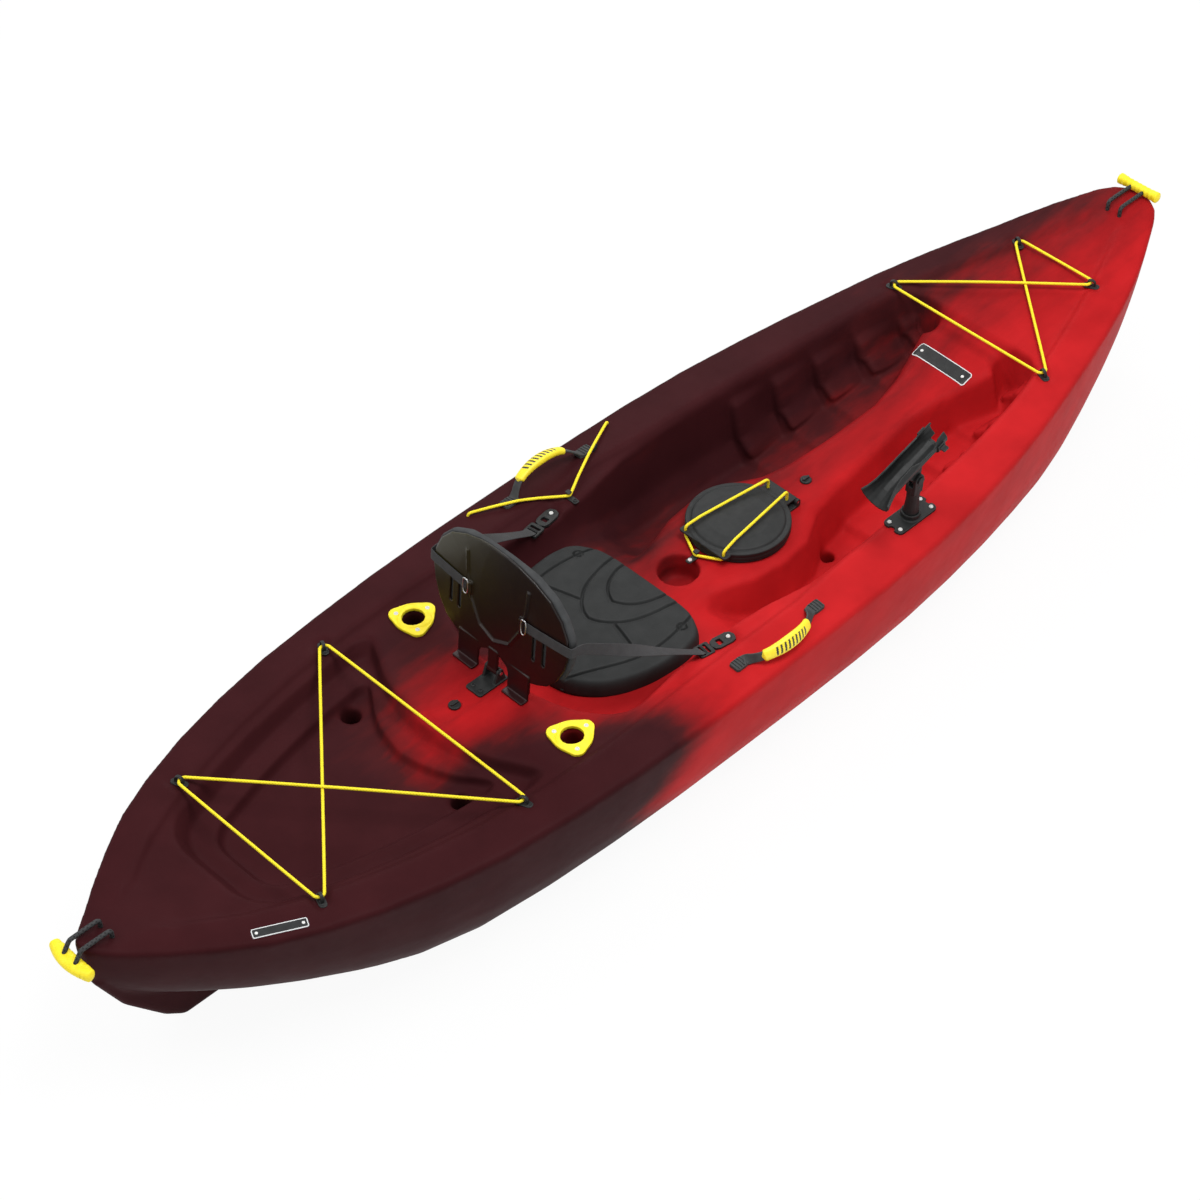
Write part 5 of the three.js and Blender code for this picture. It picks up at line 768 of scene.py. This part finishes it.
def hull_fade(points):
    """Where the hull is red, above 0, and where it is near black, below."""
    x, y, z = points.T
    aft = step(-y, -0.02, 0.3) * (1 - step(x, 0.0, 0.5))
    lower = np.clip(0.33 - z, 0, 0.33) * step(-y, 0.3, 0.36)
    far = field_distance(x + lower * 0.75, y)
    glow = 0.13 * np.exp(-((x + 0.6) / 0.13) ** 2 - ((y + 0.03) / 0.09) ** 2)
    return far * (1 + 1.3 * aft) + glow


def braced(points, normals):
    """Deepens the ledges of the foot braces in the footwells' outer walls."""
    x, y, z = points.T
    first, pitch, run, count, depth = 0.432, 0.117, 0.016, 5, 0.011
    at = (x - first) / pitch
    phase = at % 1
    rise = run / pitch
    ledge = step(phase, 0.0, rise) * (1 - np.clip((phase - rise) / (1 - rise), 0, 1))
    inside = (at > 0) & (at < count)
    facing = step(-normals[:, 1] * np.sign(y), 0.3, 0.6)
    height = step(z, 0.17, 0.2) * (1 - step(z, 0.296, 0.322))
    wall = inside * facing * height * step(np.abs(y), 0.07, 0.1)
    return points + normals * (depth * ledge * wall)[:, None]


def make_hull():
    obj = remeshed("hull_shell", "hull", 5.0 * MM)
    mesh = obj.data
    edges = edges_of(mesh)
    points = relaxed(points_of(mesh), edges, 4)
    put_points(mesh, points)
    normals = normals_of(mesh)
    cosines = np.sum(normals[edges[:, 0]] * normals[edges[:, 1]], axis=1)
    bend = np.degrees(np.arccos(np.clip(cosines, -1, 1)))
    sharpest = np.zeros(len(points))
    for column in (0, 1):
        np.maximum.at(sharpest, edges[:, column], bend)
    for _ in range(2):
        wide = sharpest.copy()
        for column in (0, 1):
            np.maximum.at(wide, edges[:, column], sharpest[edges[:, 1 - column]] * 0.92)
        sharpest = wide
    calm = 1 - step(sharpest, 5.0, 9.5)
    points = relaxed(points, edges, 55, calm)
    points = relaxed(points, edges, 1)
    points[:, 2] = np.maximum(points[:, 2], 0.0)
    put_points(mesh, points)
    points = braced(points, normals_of(mesh))
    put_points(mesh, points)
    marked(mesh, "fade", hull_fade(points))
    return finished(obj, "hull", "hull_body", ["hull"])


hull = make_hull()
surface = BVHTree.FromObject(hull, bpy.context.evaluated_depsgraph_get())


def lies_on(point, way):
    """Where a ray from a point, started a little before it, meets the hull."""
    way = Vector(way).normalized()
    place, normal, _, _ = surface.ray_cast(Vector(point) - way * 0.12, way)
    return place, normal


# Deck cords, taut in their eyes

CORD, ROPE, WIRE = 3.2 * MM, 4.6 * MM, 1.4 * MM
for cord_name, node, closed in (
        ("stern_cord", "stern_bungee", True), ("bow_cord", "bow_bungee", True),
        ("keeper_cord", "paddle_keeper_bungee", False)):
    tube(cord_name, ROUTES[node], CORD, "cord", "hull_body", [node], closed=closed)
hatch_cord = tube("hatch_cord", ROUTES["hatch_bungee"], CORD, "cord", None, ["hatch_bungee"],
                  spacing=0.006)
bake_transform(hatch_cord)

CLIP_HALF_LENGTH, CLIP_HALF_WIDTH, CLIP_RISE, CLIP_EDGE = 9.5, 6.0, 10.5, 2.5
CLIP_X, CLIP_Y = 0.097, 0.3241
clip_foot = lies_on((CLIP_X, CLIP_Y, 0.88), (0, 0, -1))[0].z - 0.0005


def clip_top(u, v):
    inside = np.minimum(CLIP_HALF_LENGTH - np.abs(u), CLIP_HALF_WIDTH - np.abs(v))
    return 0.5 + CLIP_RISE * rolled(np.clip(inside / CLIP_EDGE, 0, 1))


slab("keeper_clip", axes(Vector((CLIP_X, CLIP_Y, clip_foot)) / MM, (0.9, 0.44, 0), (0, 0, 1)),
     (-CLIP_HALF_LENGTH, CLIP_HALF_LENGTH), lambda u: np.full(len(u), CLIP_HALF_WIDTH), clip_top,
     "black", "hull_body", grid=(40, 28), sharp=40)

for end, hole, crest in (
        ("bow", (1.425, 0, 0.432), (1.44, 0, 0.4528)),
        ("stern", (-1.463, 0, 0.348), (-1.478, 0, 0.3696))):
    node = f"{end}_handle_rope"
    rope = tube(f"{end}_rope", ROUTES[node], ROPE, "rope", None, [node], spacing=0.005)
    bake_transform(rope)

for place in ("port_aft", "port_fore", "starboard_aft", "starboard_fore"):
    for end in ("bow", "stern"):
        softened(f"{end}_eye_{place}", "black", "hull_body", 0.8, 3)


# End handles: T grips with finger swells and flared ends


def end_grip(end, z, outer, inner):
    """A grip across the boat. Outer and inner give its edges' X at shares of its half length."""
    count, around, half_length, half_height = 121, 40, 57.0 * MM, 12.3 * MM
    t = np.linspace(-1, 1, count)
    inward = np.abs(t)
    rounded = np.sqrt(np.clip(1 - step(inward, 0.9, 1.0) ** 2, 0.03, 1))
    a, b = outer(inward), inner(inward)
    path = np.stack([(a + b) / 2, t * half_length, np.full(count, z)], axis=1)
    turn = np.arange(around) * 2 * math.pi / around
    c, s = np.cos(turn), np.sin(turn)
    ring = np.stack([np.sign(c) * np.abs(c) ** 0.85, np.sign(s) * np.abs(s) ** 0.85], axis=1)
    wide = np.abs(a - b) / 2 * rounded
    high = half_height * (0.86 + 0.14 * step(inward, 0.5, 0.9)) * rounded
    sections = ring[None] * np.stack([high, wide], axis=1)[:, None]
    widths = np.tile((0.0, 0.0, 1.0), (count, 1))
    swept(f"{end}_grip", path, sections, widths, "yellow", f"{end}_handle", [f"{end}_handle_grip"])


def fingers(inward):
    """Four finger swells over the middle of a grip."""
    return 0.0011 * np.cos(inward * 9.4 * math.pi) * (1 - step(inward, 0.7, 0.85))


def waist(inward):
    """How far each edge of the bow grip draws in over its middle."""
    return 0.0015 * (1 - step(inward, 0.5, 0.9))


BOW_GRIP_OUTER, BOW_GRIP_INNER, BOW_GRIP_Z = 1.5245, 1.5005, 0.4528
STERN_GRIP_OUTER, STERN_GRIP_INNER, STERN_GRIP_Z = -1.5655, -1.532, 0.337
end_grip("bow", BOW_GRIP_Z, lambda n: BOW_GRIP_OUTER - waist(n) + fingers(n),
         lambda n: BOW_GRIP_INNER + waist(n) - fingers(n))
end_grip("stern", STERN_GRIP_Z, lambda n: STERN_GRIP_OUTER + 0.015 * n ** 2,
         lambda n: STERN_GRIP_INNER + fingers(n) * 1.6 + 0.002 * n ** 2)


# Side handles: a rubber strap from two ribbed pads, and a grip with slots on its arch

# Fore and aft ends of the pads: name, end by the strap and far end, in millimetres
HANDLE_PADS = (("aft", -81.0, -120.0), ("fore", 96.0, 135.0))
# Where the strap leaves its pad, and where it goes with the handle
HANDLE_LIFT = {
    1: ((-0.04, 0.331, 0.3445), (-0.04, 0.3355, 0.356)),
    -1: ((-0.04, -0.331, 0.3445), (-0.04, -0.3446, 0.3492)),
}


def stretched(x, aft=-100, fore=20):
    """Moves the places, in millimetres, of the strap's ends to its pads."""
    if x < aft:
        return aft + (x - aft) * 0.88
    return fore + (x - fore) * 1.28 if x > fore else x


def side_handle(name, side):
    matrix = axes((-40.5, side * 330.597, 338.785), (0.99974, 0, 0.02277),
                  (-0.02264, side * 0.10408, 0.99431))
    for end, near, far in HANDLE_PADS:
        low, high = sorted((near, far))

        def half(u):
            run = (u - near) / (far - near)
            flare, tip = step(run, 0.0, 0.4), step(run, 0.85, 1.0)
            return 13.5 * (0.8 + 0.2 * flare) * np.sqrt(1 - 0.35 * tip)

        def top(u, v):
            run, from_side = (u - near) / (far - near), half(u) - np.abs(v)
            edge = np.clip(np.minimum.reduce([u - low, high - u, from_side]) / 2.0, 0, 1)
            rib = np.clip(np.cos((run - 0.22) * 2 * math.pi * 5.5) * 3, -1, 1)
            ribbed = step(run, 0.26, 0.3) * (1 - step(run, 0.9, 0.94)) * step(from_side, 1.5, 2.5)
            return 0.3 + np.maximum(6.0 * rolled(edge) - 2.2 * (1 - rib) * 0.5 * ribbed, 0.0)

        slab(f"side_pad_{name}_{end}", matrix, (low, high), half, top, "band", "hull_body",
             grid=(110, 34), sharp=38)
    band = [((stretched(x), y, z), w) for (x, y, z), w in BANDS[f"side_handle_strap_{name}"]]
    points, widths = band_points(band, 0.003)
    share = np.abs(np.linspace(-1, 1, len(points)))
    wide = 10.0 + 1.8 * step(share, 0.82, 1.0)
    sections = np.stack([rounded_section(w * MM, 2.5 * MM) for w in wide])
    band = swept(f"side_band_{name}", points, sections, widths, "band", None,
                 [f"side_handle_strap_{name}"])
    start, end = HANDLE_LIFT[side]
    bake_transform(band)
    points, widths = band_points(BANDS[f"side_handle_grip_{name}"], 0.0011)
    t = np.linspace(-1, 1, len(points))
    taper = np.sqrt(np.clip(1 - step(np.abs(t), 0.9, 1.0) * 0.92, 0, 1))
    around, pitch, slot_half, slots_half = 64, 9.6, 2.2, 41
    sections = np.stack([
        rounded_section(15.0 * MM * swell, 9.5 * MM * swell, 2.5, around)
        for swell in (0.9 + 0.1 * np.cos(t * math.pi)) * taper])
    along = lengths_along(points) / MM
    middle = along - along[-1] / 2
    turn = (np.arange(around) + 0.5) * 2 * math.pi / around
    shift = np.cos(turn)[None] * 3.2
    local = (middle[:, None] + shift + pitch / 2) % pitch - pitch / 2
    slots_with_painted_shade = (np.abs(local) < slot_half) & (np.abs(middle[:, None]) < slots_half)
    slots_with_painted_shade &= (np.abs(np.cos(turn)[None]) < 0.62) & (np.sin(turn)[None] * side > 0)
    sections = sections * (1 - 0.09 * slots_with_painted_shade[:, :, None])
    grip = swept(f"side_grip_{name}", points, sections, widths, "grip", f"side_handle_{name}",
                 [f"side_handle_grip_{name}"])
    caps = [0.0, 0.0]
    # The slots' mask also carries their painted shade into the grip's colour
    marked(grip.data, "slot", np.concatenate([slots_with_painted_shade.ravel(), caps]))


for name, side in SIDES:
    side_handle(name, side)


# Seat: a moulded foam pad with channels, and a backrest of shell, foam and webbing

PAD_FORE, PAD_AFT, PAD_HALF, PAD_BOTTOM = -66.0, -398.0, 200.0, 258.3
PAD_THICK, PAD_CROWN, PAD_ROLL, CHANNEL_DEPTH, BUTTON_RADIUS = 36.0, 3.0, 13.0, 5.6, 9.0
PAD_OUTLINE = smooth([
    (0, 0.42), (0.012, 0.62), (0.05, 0.78), (0.1, 0.9), (0.17, 0.97), (0.3, 1), (0.5, 0.975),
    (0.68, 0.9), (0.82, 0.78), (0.92, 0.62), (0.98, 0.45), (1, 0.3)])
PAD_CHANNELS = (
    ((-0.02, 0.31), (0.09, 0.3), (0.2, 0.235), (0.275, 0.13), (0.312, 0)),
    ((-0.02, 0.47), (0.18, 0.43), (0.34, 0.35), (0.44, 0.23), (0.5, 0.1), (0.518, 0)),
    ((0.44, 0.26), (0.47, 0.45), (0.52, 0.72)),
    ((-0.02, 0.67), (0.16, 0.75), (0.38, 0.79), (0.56, 0.75), (0.79, 0.58), (1.04, 0.38)),
)
PAD_BUTTON = (0.16, 0.75)


def make_pad():
    length = PAD_FORE - PAD_AFT

    def half(u):
        return PAD_HALF * PAD_OUTLINE((PAD_FORE - u) / length)

    side = [(u, half(u)) for u in np.linspace(PAD_AFT, PAD_FORE, 160)]
    rim = [(PAD_AFT, 0.0), *side, (PAD_FORE, 0.0)]

    def top(u, v):
        far = near_line(u, np.abs(v), rim)
        edge = np.clip(far / PAD_ROLL, 0, 1)
        height = PAD_THICK * rolled(edge, 2.6) + PAD_CROWN * (1 - (v / PAD_HALF) ** 2)
        height += 2.2 * step(far, 14, 34)
        cut = np.full(len(u), np.inf)
        for table in PAD_CHANNELS:
            dense = chaikin([(PAD_FORE - s * length, w * PAD_HALF, 0) for s, w in table], False, 3)
            cut = np.minimum(cut, near_line(u, np.abs(v), [(p[0], p[1]) for p in dense]))
        off_u = u - (PAD_FORE - PAD_BUTTON[0] * length)
        off_v = np.abs(v) - PAD_BUTTON[1] * PAD_HALF
        cut = np.minimum(cut, np.abs(np.hypot(off_u, off_v) - BUTTON_RADIUS) * 1.3)
        groove = 1 - step(cut, 1.7, 3.6)
        height -= CHANNEL_DEPTH * groove * step(far, 1.0, 9.0)
        height += 0.9 * (1 - step(cut, 3.9, 9.0)) * (1 - groove) * step(far, 8, 16)
        return np.maximum(height, 0.6)

    matrix = Matrix.Identity(4)
    matrix.translation = (0, 0, PAD_BOTTOM * MM)
    pad = slab("seat_cushion", matrix, (PAD_AFT, PAD_FORE), half, top, "pad", "hull_body",
               ["seat_pad"], grid=(270, 300))


make_pad()
back_foam = softened("seat_back_foam", "foam", "backrest", 1.7, 12)
softened("seat_back_shell", "back", "backrest", 1.3, 3)
softened("seat_bracket", "black", "hull_body", 1.0, 3)

# Loop of wire round each strap on the back: across and along the strap's width, in millimetres
GUIDE_LOOP = ((0, 18), (7, 18), (7, -18), (-7, -18), (-7, 18), (0, 18))
for name, side in SIDES:
    # The starboard strap twists the way that shows its broad face from above
    turned = [(p, (w[0], -w[1], w[2]) if side < 0 else w) for p, w in BANDS[f"strap_{name}"]]
    points, widths = band_points(turned, 0.004)
    sections = np.tile(rounded_section(12.5 * MM, 0.95 * MM, 6.0), (len(points), 1, 1))
    strap = swept(f"webbing_{name}", points, sections, widths, "web", None, [f"strap_{name}"])
    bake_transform(strap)
    wire = [(-491.7 + 0.087 * h, side * (81.8 + s), 506.9 + 0.996 * h) for s, h in GUIDE_LOOP]
    tube(f"strap_guide_{name}", wire, WIRE, "steel", "backrest", sides=10, spacing=0.003)
    softened(f"strap_anchor_{name}", "black", "hull_body", 0.8, 2)
    softened(f"strap_buckle_{name}", "black", "hull_body", 0.8, 2)


# Hatch: rim, gasket, lid and cord hook. The CAD facets are turned back into circles.

HATCH_X, HATCH_FACETS = 0.204, 24
HINGE_EDGE, TONGUE_EDGE, TURNED_FROM, TURNED_TO = 0.108, -0.09, 0.03, 0.114
LID_TOP, LID_GROOVE, LID_SEAM, GROOVE_WIDTH = 0.284, 0.1005, 0.2775, 0.0013


def rounded_out(points):
    """Moves the flats of a turned piece out to the circle through their corners."""
    out = points.copy()
    x, y = points[:, 0] - HATCH_X, points[:, 1]
    pitch = 2 * math.pi / HATCH_FACETS
    off = (np.arctan2(y, x) % pitch) - pitch / 2
    grow = np.cos(off) / math.cos(pitch / 2)
    reach = np.hypot(x, y)
    free = (x > TONGUE_EDGE) & (x < HINGE_EDGE)
    share = step(reach, TURNED_FROM, 0.07) * (1 - step(reach, 0.1125, TURNED_TO)) * free
    grow = 1 + (grow - 1) * share
    out[:, 0], out[:, 1] = HATCH_X + x * grow, y * grow
    return out


def lid_shape(points):
    """Rounds the lid, with a groove round its top and a seam round its side."""
    out = rounded_out(points)
    x, y, z = out[:, 0] - HATCH_X, out[:, 1], out[:, 2].copy()
    reach = np.hypot(x, y)
    groove = np.exp(-((reach - LID_GROOVE) / GROOVE_WIDTH) ** 2)
    seam = step(reach, 0.108, 0.111) * np.exp(-((z - LID_SEAM) / GROOVE_WIDTH) ** 2)
    out[:, 2] -= 0.0014 * groove * step(z, LID_TOP, LID_TOP + 0.002)
    shrink = 1 - 0.012 * seam
    out[:, 0], out[:, 1] = HATCH_X + x * shrink, y * shrink
    return out


softened("hatch_rim", "black", "hull_body", 1.3, 3, shape=rounded_out)
softened("hatch_gasket", "rubber", "hull_body", 1.2, 3, shape=rounded_out)
softened("hatch_lid", "lid", "hatch_cover", 1.2, 3, shape=lid_shape)
softened("hatch_hook", "black", "hull_body", 0.6, 2)
softened("paddle_keeper_hook", "black", "hull_body", 0.6, 2)


# Rod tubes with their screws, rod holder and drain plugs

TUBE_X, TUBE_Y, BEZEL_SCREWS = -0.504, 0.228728, 0.0372

for name, side in SIDES:

    def plumped(points, middle_y=side * TUBE_Y):
        """Swells the sides between a bezel's three corners."""
        x, y = points[:, 0] - TUBE_X, points[:, 1] - middle_y
        between = 0.5 - 0.5 * np.cos(3 * np.arctan2(y, x))
        grow = 1 + 0.2 * between * step(np.hypot(x, y), 0.022, 0.03)
        return np.stack([x * grow + TUBE_X, y * grow + middle_y, points[:, 2]], axis=1)

    bezel = softened(f"rod_tube_bezel_{name}", "yellow", "hull_body", 0.9, 4, shape=plumped)
    skin = points_of(bezel.data)
    for corner in range(3):
        turn = corner * 2 * math.pi / 3
        x = TUBE_X + BEZEL_SCREWS * math.cos(turn)
        y = side * TUBE_Y + BEZEL_SCREWS * math.sin(turn)
        top = skin[np.hypot(skin[:, 0] - x, skin[:, 1] - y) < 0.003][:, 2].max()
        pan_head(f"bezel_screw_{name}_{corner}", (x, y, top - 0.0002), (0, 0, 1), 5.0, 2.0,
                 "head", "hull_body")

for node, body, voxel, passes in (
        ("rod_holder_base", "hull_body", 0.8, 3), ("rod_holder_post", "rod_post", 0.9, 3),
        ("rod_holder_bolt", "rod_post", 0.7, 2), ("rod_holder_cradle", "rod_rest", 1.1, 3),
        ("rod_holder_collar", "rod_collar", 0.9, 2), ("drain_plug_stern", "stern_plug", 0.6, 2),
        ("drain_plug_bow", "bow_plug", 0.6, 2)):
    softened(node, "black", body, voxel, passes)


# Screws and pins


def screw_of(node, axis, look="head", under=0.0035, rise=2.8):
    """A pan head in the place of a CAD screw's head."""
    axis = np.array(Vector(axis).normalized())
    points = points_of(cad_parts[node].data)
    height = points @ axis
    top = height.max()
    head = points[height > top - under]
    flat = head - np.outer(head @ axis, axis)
    middle = (flat.min(axis=0) + flat.max(axis=0)) / 2
    radius = float(np.linalg.norm(flat - middle, axis=1).max())
    place = middle + axis * (top - 0.0026)
    pan_head(f"{node}_head", place, axis, radius / MM, rise, look, "hull_body", [node])


BASE_UP = (-0.01847, -0.058, 0.99815)
for node in ("aft_inner", "aft_outer", "fore_inner", "fore_outer"):
    screw_of(f"rod_holder_screw_{node}", BASE_UP)
for name, side in SIDES:
    screw_of(f"seat_bracket_screw_{name}", (0, 0, 1), "black")
    screw_of(f"strap_screw_{name}", (0, 0, 1))
screw_of("hatch_hook_screw", (0, 0, 1))
screw_of("paddle_keeper_hook_screw", (0, 0, 1), "black")
for node in ("seat_pivot_pin", "hatch_hinge_pin"):
    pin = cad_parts[node]
    pin.data.materials.clear()
    pin.data.materials.append(LOOKS["steel"][0])


# Bare plates that lie on the hull's surface, each with an edge and two rivets


def deck_plate(name, middle, along, way, length, width, thick, corner):
    """A thin plate pressed on the hull, round at its corners, with a raised edge and two rivets."""
    way = Vector(way).normalized()
    along = (Vector(along) - Vector(along).dot(way) * way).normalized()
    across = way.cross(along)

    def lifted(grow, low, high, nu=60, nv=18):
        points = []
        pinch = corner + grow
        for u in np.linspace(-1, 1, nu) * (length / 2 + grow):
            reach = length / 2 + grow - abs(u)
            drop = pinch - math.sqrt(max(pinch ** 2 - max(pinch - reach, 0) ** 2, 0))
            for v in np.linspace(-1, 1, nv) * (width / 2 + grow - drop):
                points.append(lies_on(Vector(middle) + along * u + across * v, way))
        skin = [place + normal * lift for lift in (high, low) for place, normal in points]
        return skin, [(face[0], *face[:0:-1]) for face in block_faces(nu, nv)]

    points, faces = lifted(0.0, -0.001, thick)
    made(f"{name}_edge", points, faces, "edge", "hull_body", sharp=40)
    inset = min(0.002, width * 0.1)
    points, faces = lifted(-inset, -0.001, thick + 0.0003)
    made(f"{name}_face", points, faces, "plate", "hull_body", sharp=40)
    for k, side in enumerate((-1, 1)):
        place, normal = lies_on(Vector(middle) + along * side * (length / 2 - width * 0.42), way)
        radius = min(3.8, width * 160)
        pan_head(f"{name}_rivet_{k}", place + normal * (thick + 0.0002), normal, radius, 1.3,
                 "head", "hull_body", recess=0.0)


deck_plate("bow_plate", (0.853, 0.003, 0.4), (0.03, 1, 0), (0, 0, -1), 0.15, 0.036, 0.0014, 0.006)
deck_plate("stern_plate", (-1.2265, -0.2055, 0.4), (0.9, -0.44, 0), (0, 0, -1),
           0.106, 0.021, 0.0012, 0.003)


# Floor, light and camera


def area_light(name, place, size, watts):
    data = bpy.data.lights.new(name, "AREA")
    data.shape, data.size, data.energy = "DISK", size, watts
    lamp = linked(name, data)
    lamp.location = place
    aim = Vector((0, 0, 0.25)) - lamp.location
    lamp.rotation_euler = aim.to_track_quat("-Z", "Y").to_euler()


for name, place, size, watts in (
        ("key", (0.6, -1.4, 5.8), 3.2, 235), ("fill", (-3.4, 1.2, 4.4), 3.6, 80),
        ("rim", (2.8, 3.4, 3.6), 2.6, 60)):
    area_light(name, place, size, watts)


def seen_white(tree, lit, white, share=1.0):
    """Mixes in plain white for rays from the camera, from gloss and through glass."""
    path = wired(tree, "ShaderNodeLightPath").outputs
    total = path["Is Camera Ray"]
    for name in ("Is Glossy Ray", "Is Transmission Ray"):
        total = wired(tree, "ShaderNodeMath", {0: total, 1: path[name]},
                      operation="ADD", use_clamp=True).outputs[0]
    part = wired(tree, "ShaderNodeMath", {0: total, 1: share}, operation="MULTIPLY").outputs[0]
    return wired(tree, "ShaderNodeMixShader", {0: part, 1: lit, 2: white}).outputs[0]


def make_floor():
    half, z = 30.0, -1 * MM
    mesh = bpy.data.meshes.new("floor")
    corners = [(-half, -half, z), (half, -half, z), (half, half, z), (-half, half, z)]
    mesh.from_pydata(corners, [], [(0, 1, 2, 3)])
    floor = linked("floor", mesh)
    paint = bpy.data.materials.new("floor_paint")
    paint.use_nodes = True
    tree = paint.node_tree
    shader = tree.nodes["Principled BSDF"]
    for name, value in (
            ("Base Color", (0.94, 0.94, 0.94, 1)), ("Roughness", 0.9), ("Specular IOR Level", 0.0)):
        shader.inputs[name].default_value = value
    glow = wired(tree, "ShaderNodeEmission", {"Strength": 1.0})
    mixed = seen_white(tree, shader.outputs[0], glow.outputs[0], 0.94)
    tree.links.new(mixed, tree.nodes["Material Output"].inputs["Surface"])
    mesh.materials.append(paint)


make_floor()
world = bpy.data.worlds.new("studio")
bpy.context.scene.world = world
world.use_nodes = True
sky = world.node_tree.nodes["Background"]
sky.inputs["Color"].default_value = (1, 1, 1, 1)
sky.inputs["Strength"].default_value = 0.48
white = wired(world.node_tree, "ShaderNodeBackground", {"Strength": 1.0})
seen = seen_white(world.node_tree, sky.outputs[0], white.outputs[0])
world.node_tree.links.new(seen, world.node_tree.nodes["World Output"].inputs["Surface"])

bpy.context.scene.view_settings.view_transform = "Standard"

CAMERA_PLACE = (-3.41010, -3.24810, 4.79327)
CAMERA_YAW, CAMERA_PITCH = math.radians(45.367), math.radians(-44.383)
camera_data = bpy.data.cameras.new("camera")
camera_data.lens, camera_data.sensor_width, camera_data.sensor_fit = 94.78, 36.0, "HORIZONTAL"
camera = linked("camera", camera_data)
ahead = Vector((
    math.cos(CAMERA_YAW) * math.cos(CAMERA_PITCH), math.sin(CAMERA_YAW) * math.cos(CAMERA_PITCH),
    math.sin(CAMERA_PITCH)))
right = Vector((math.sin(CAMERA_YAW), -math.cos(CAMERA_YAW), 0.0))
upward = right.cross(ahead)
camera.matrix_world = framed(right, upward, -ahead, CAMERA_PLACE)
bpy.context.scene.camera = camera
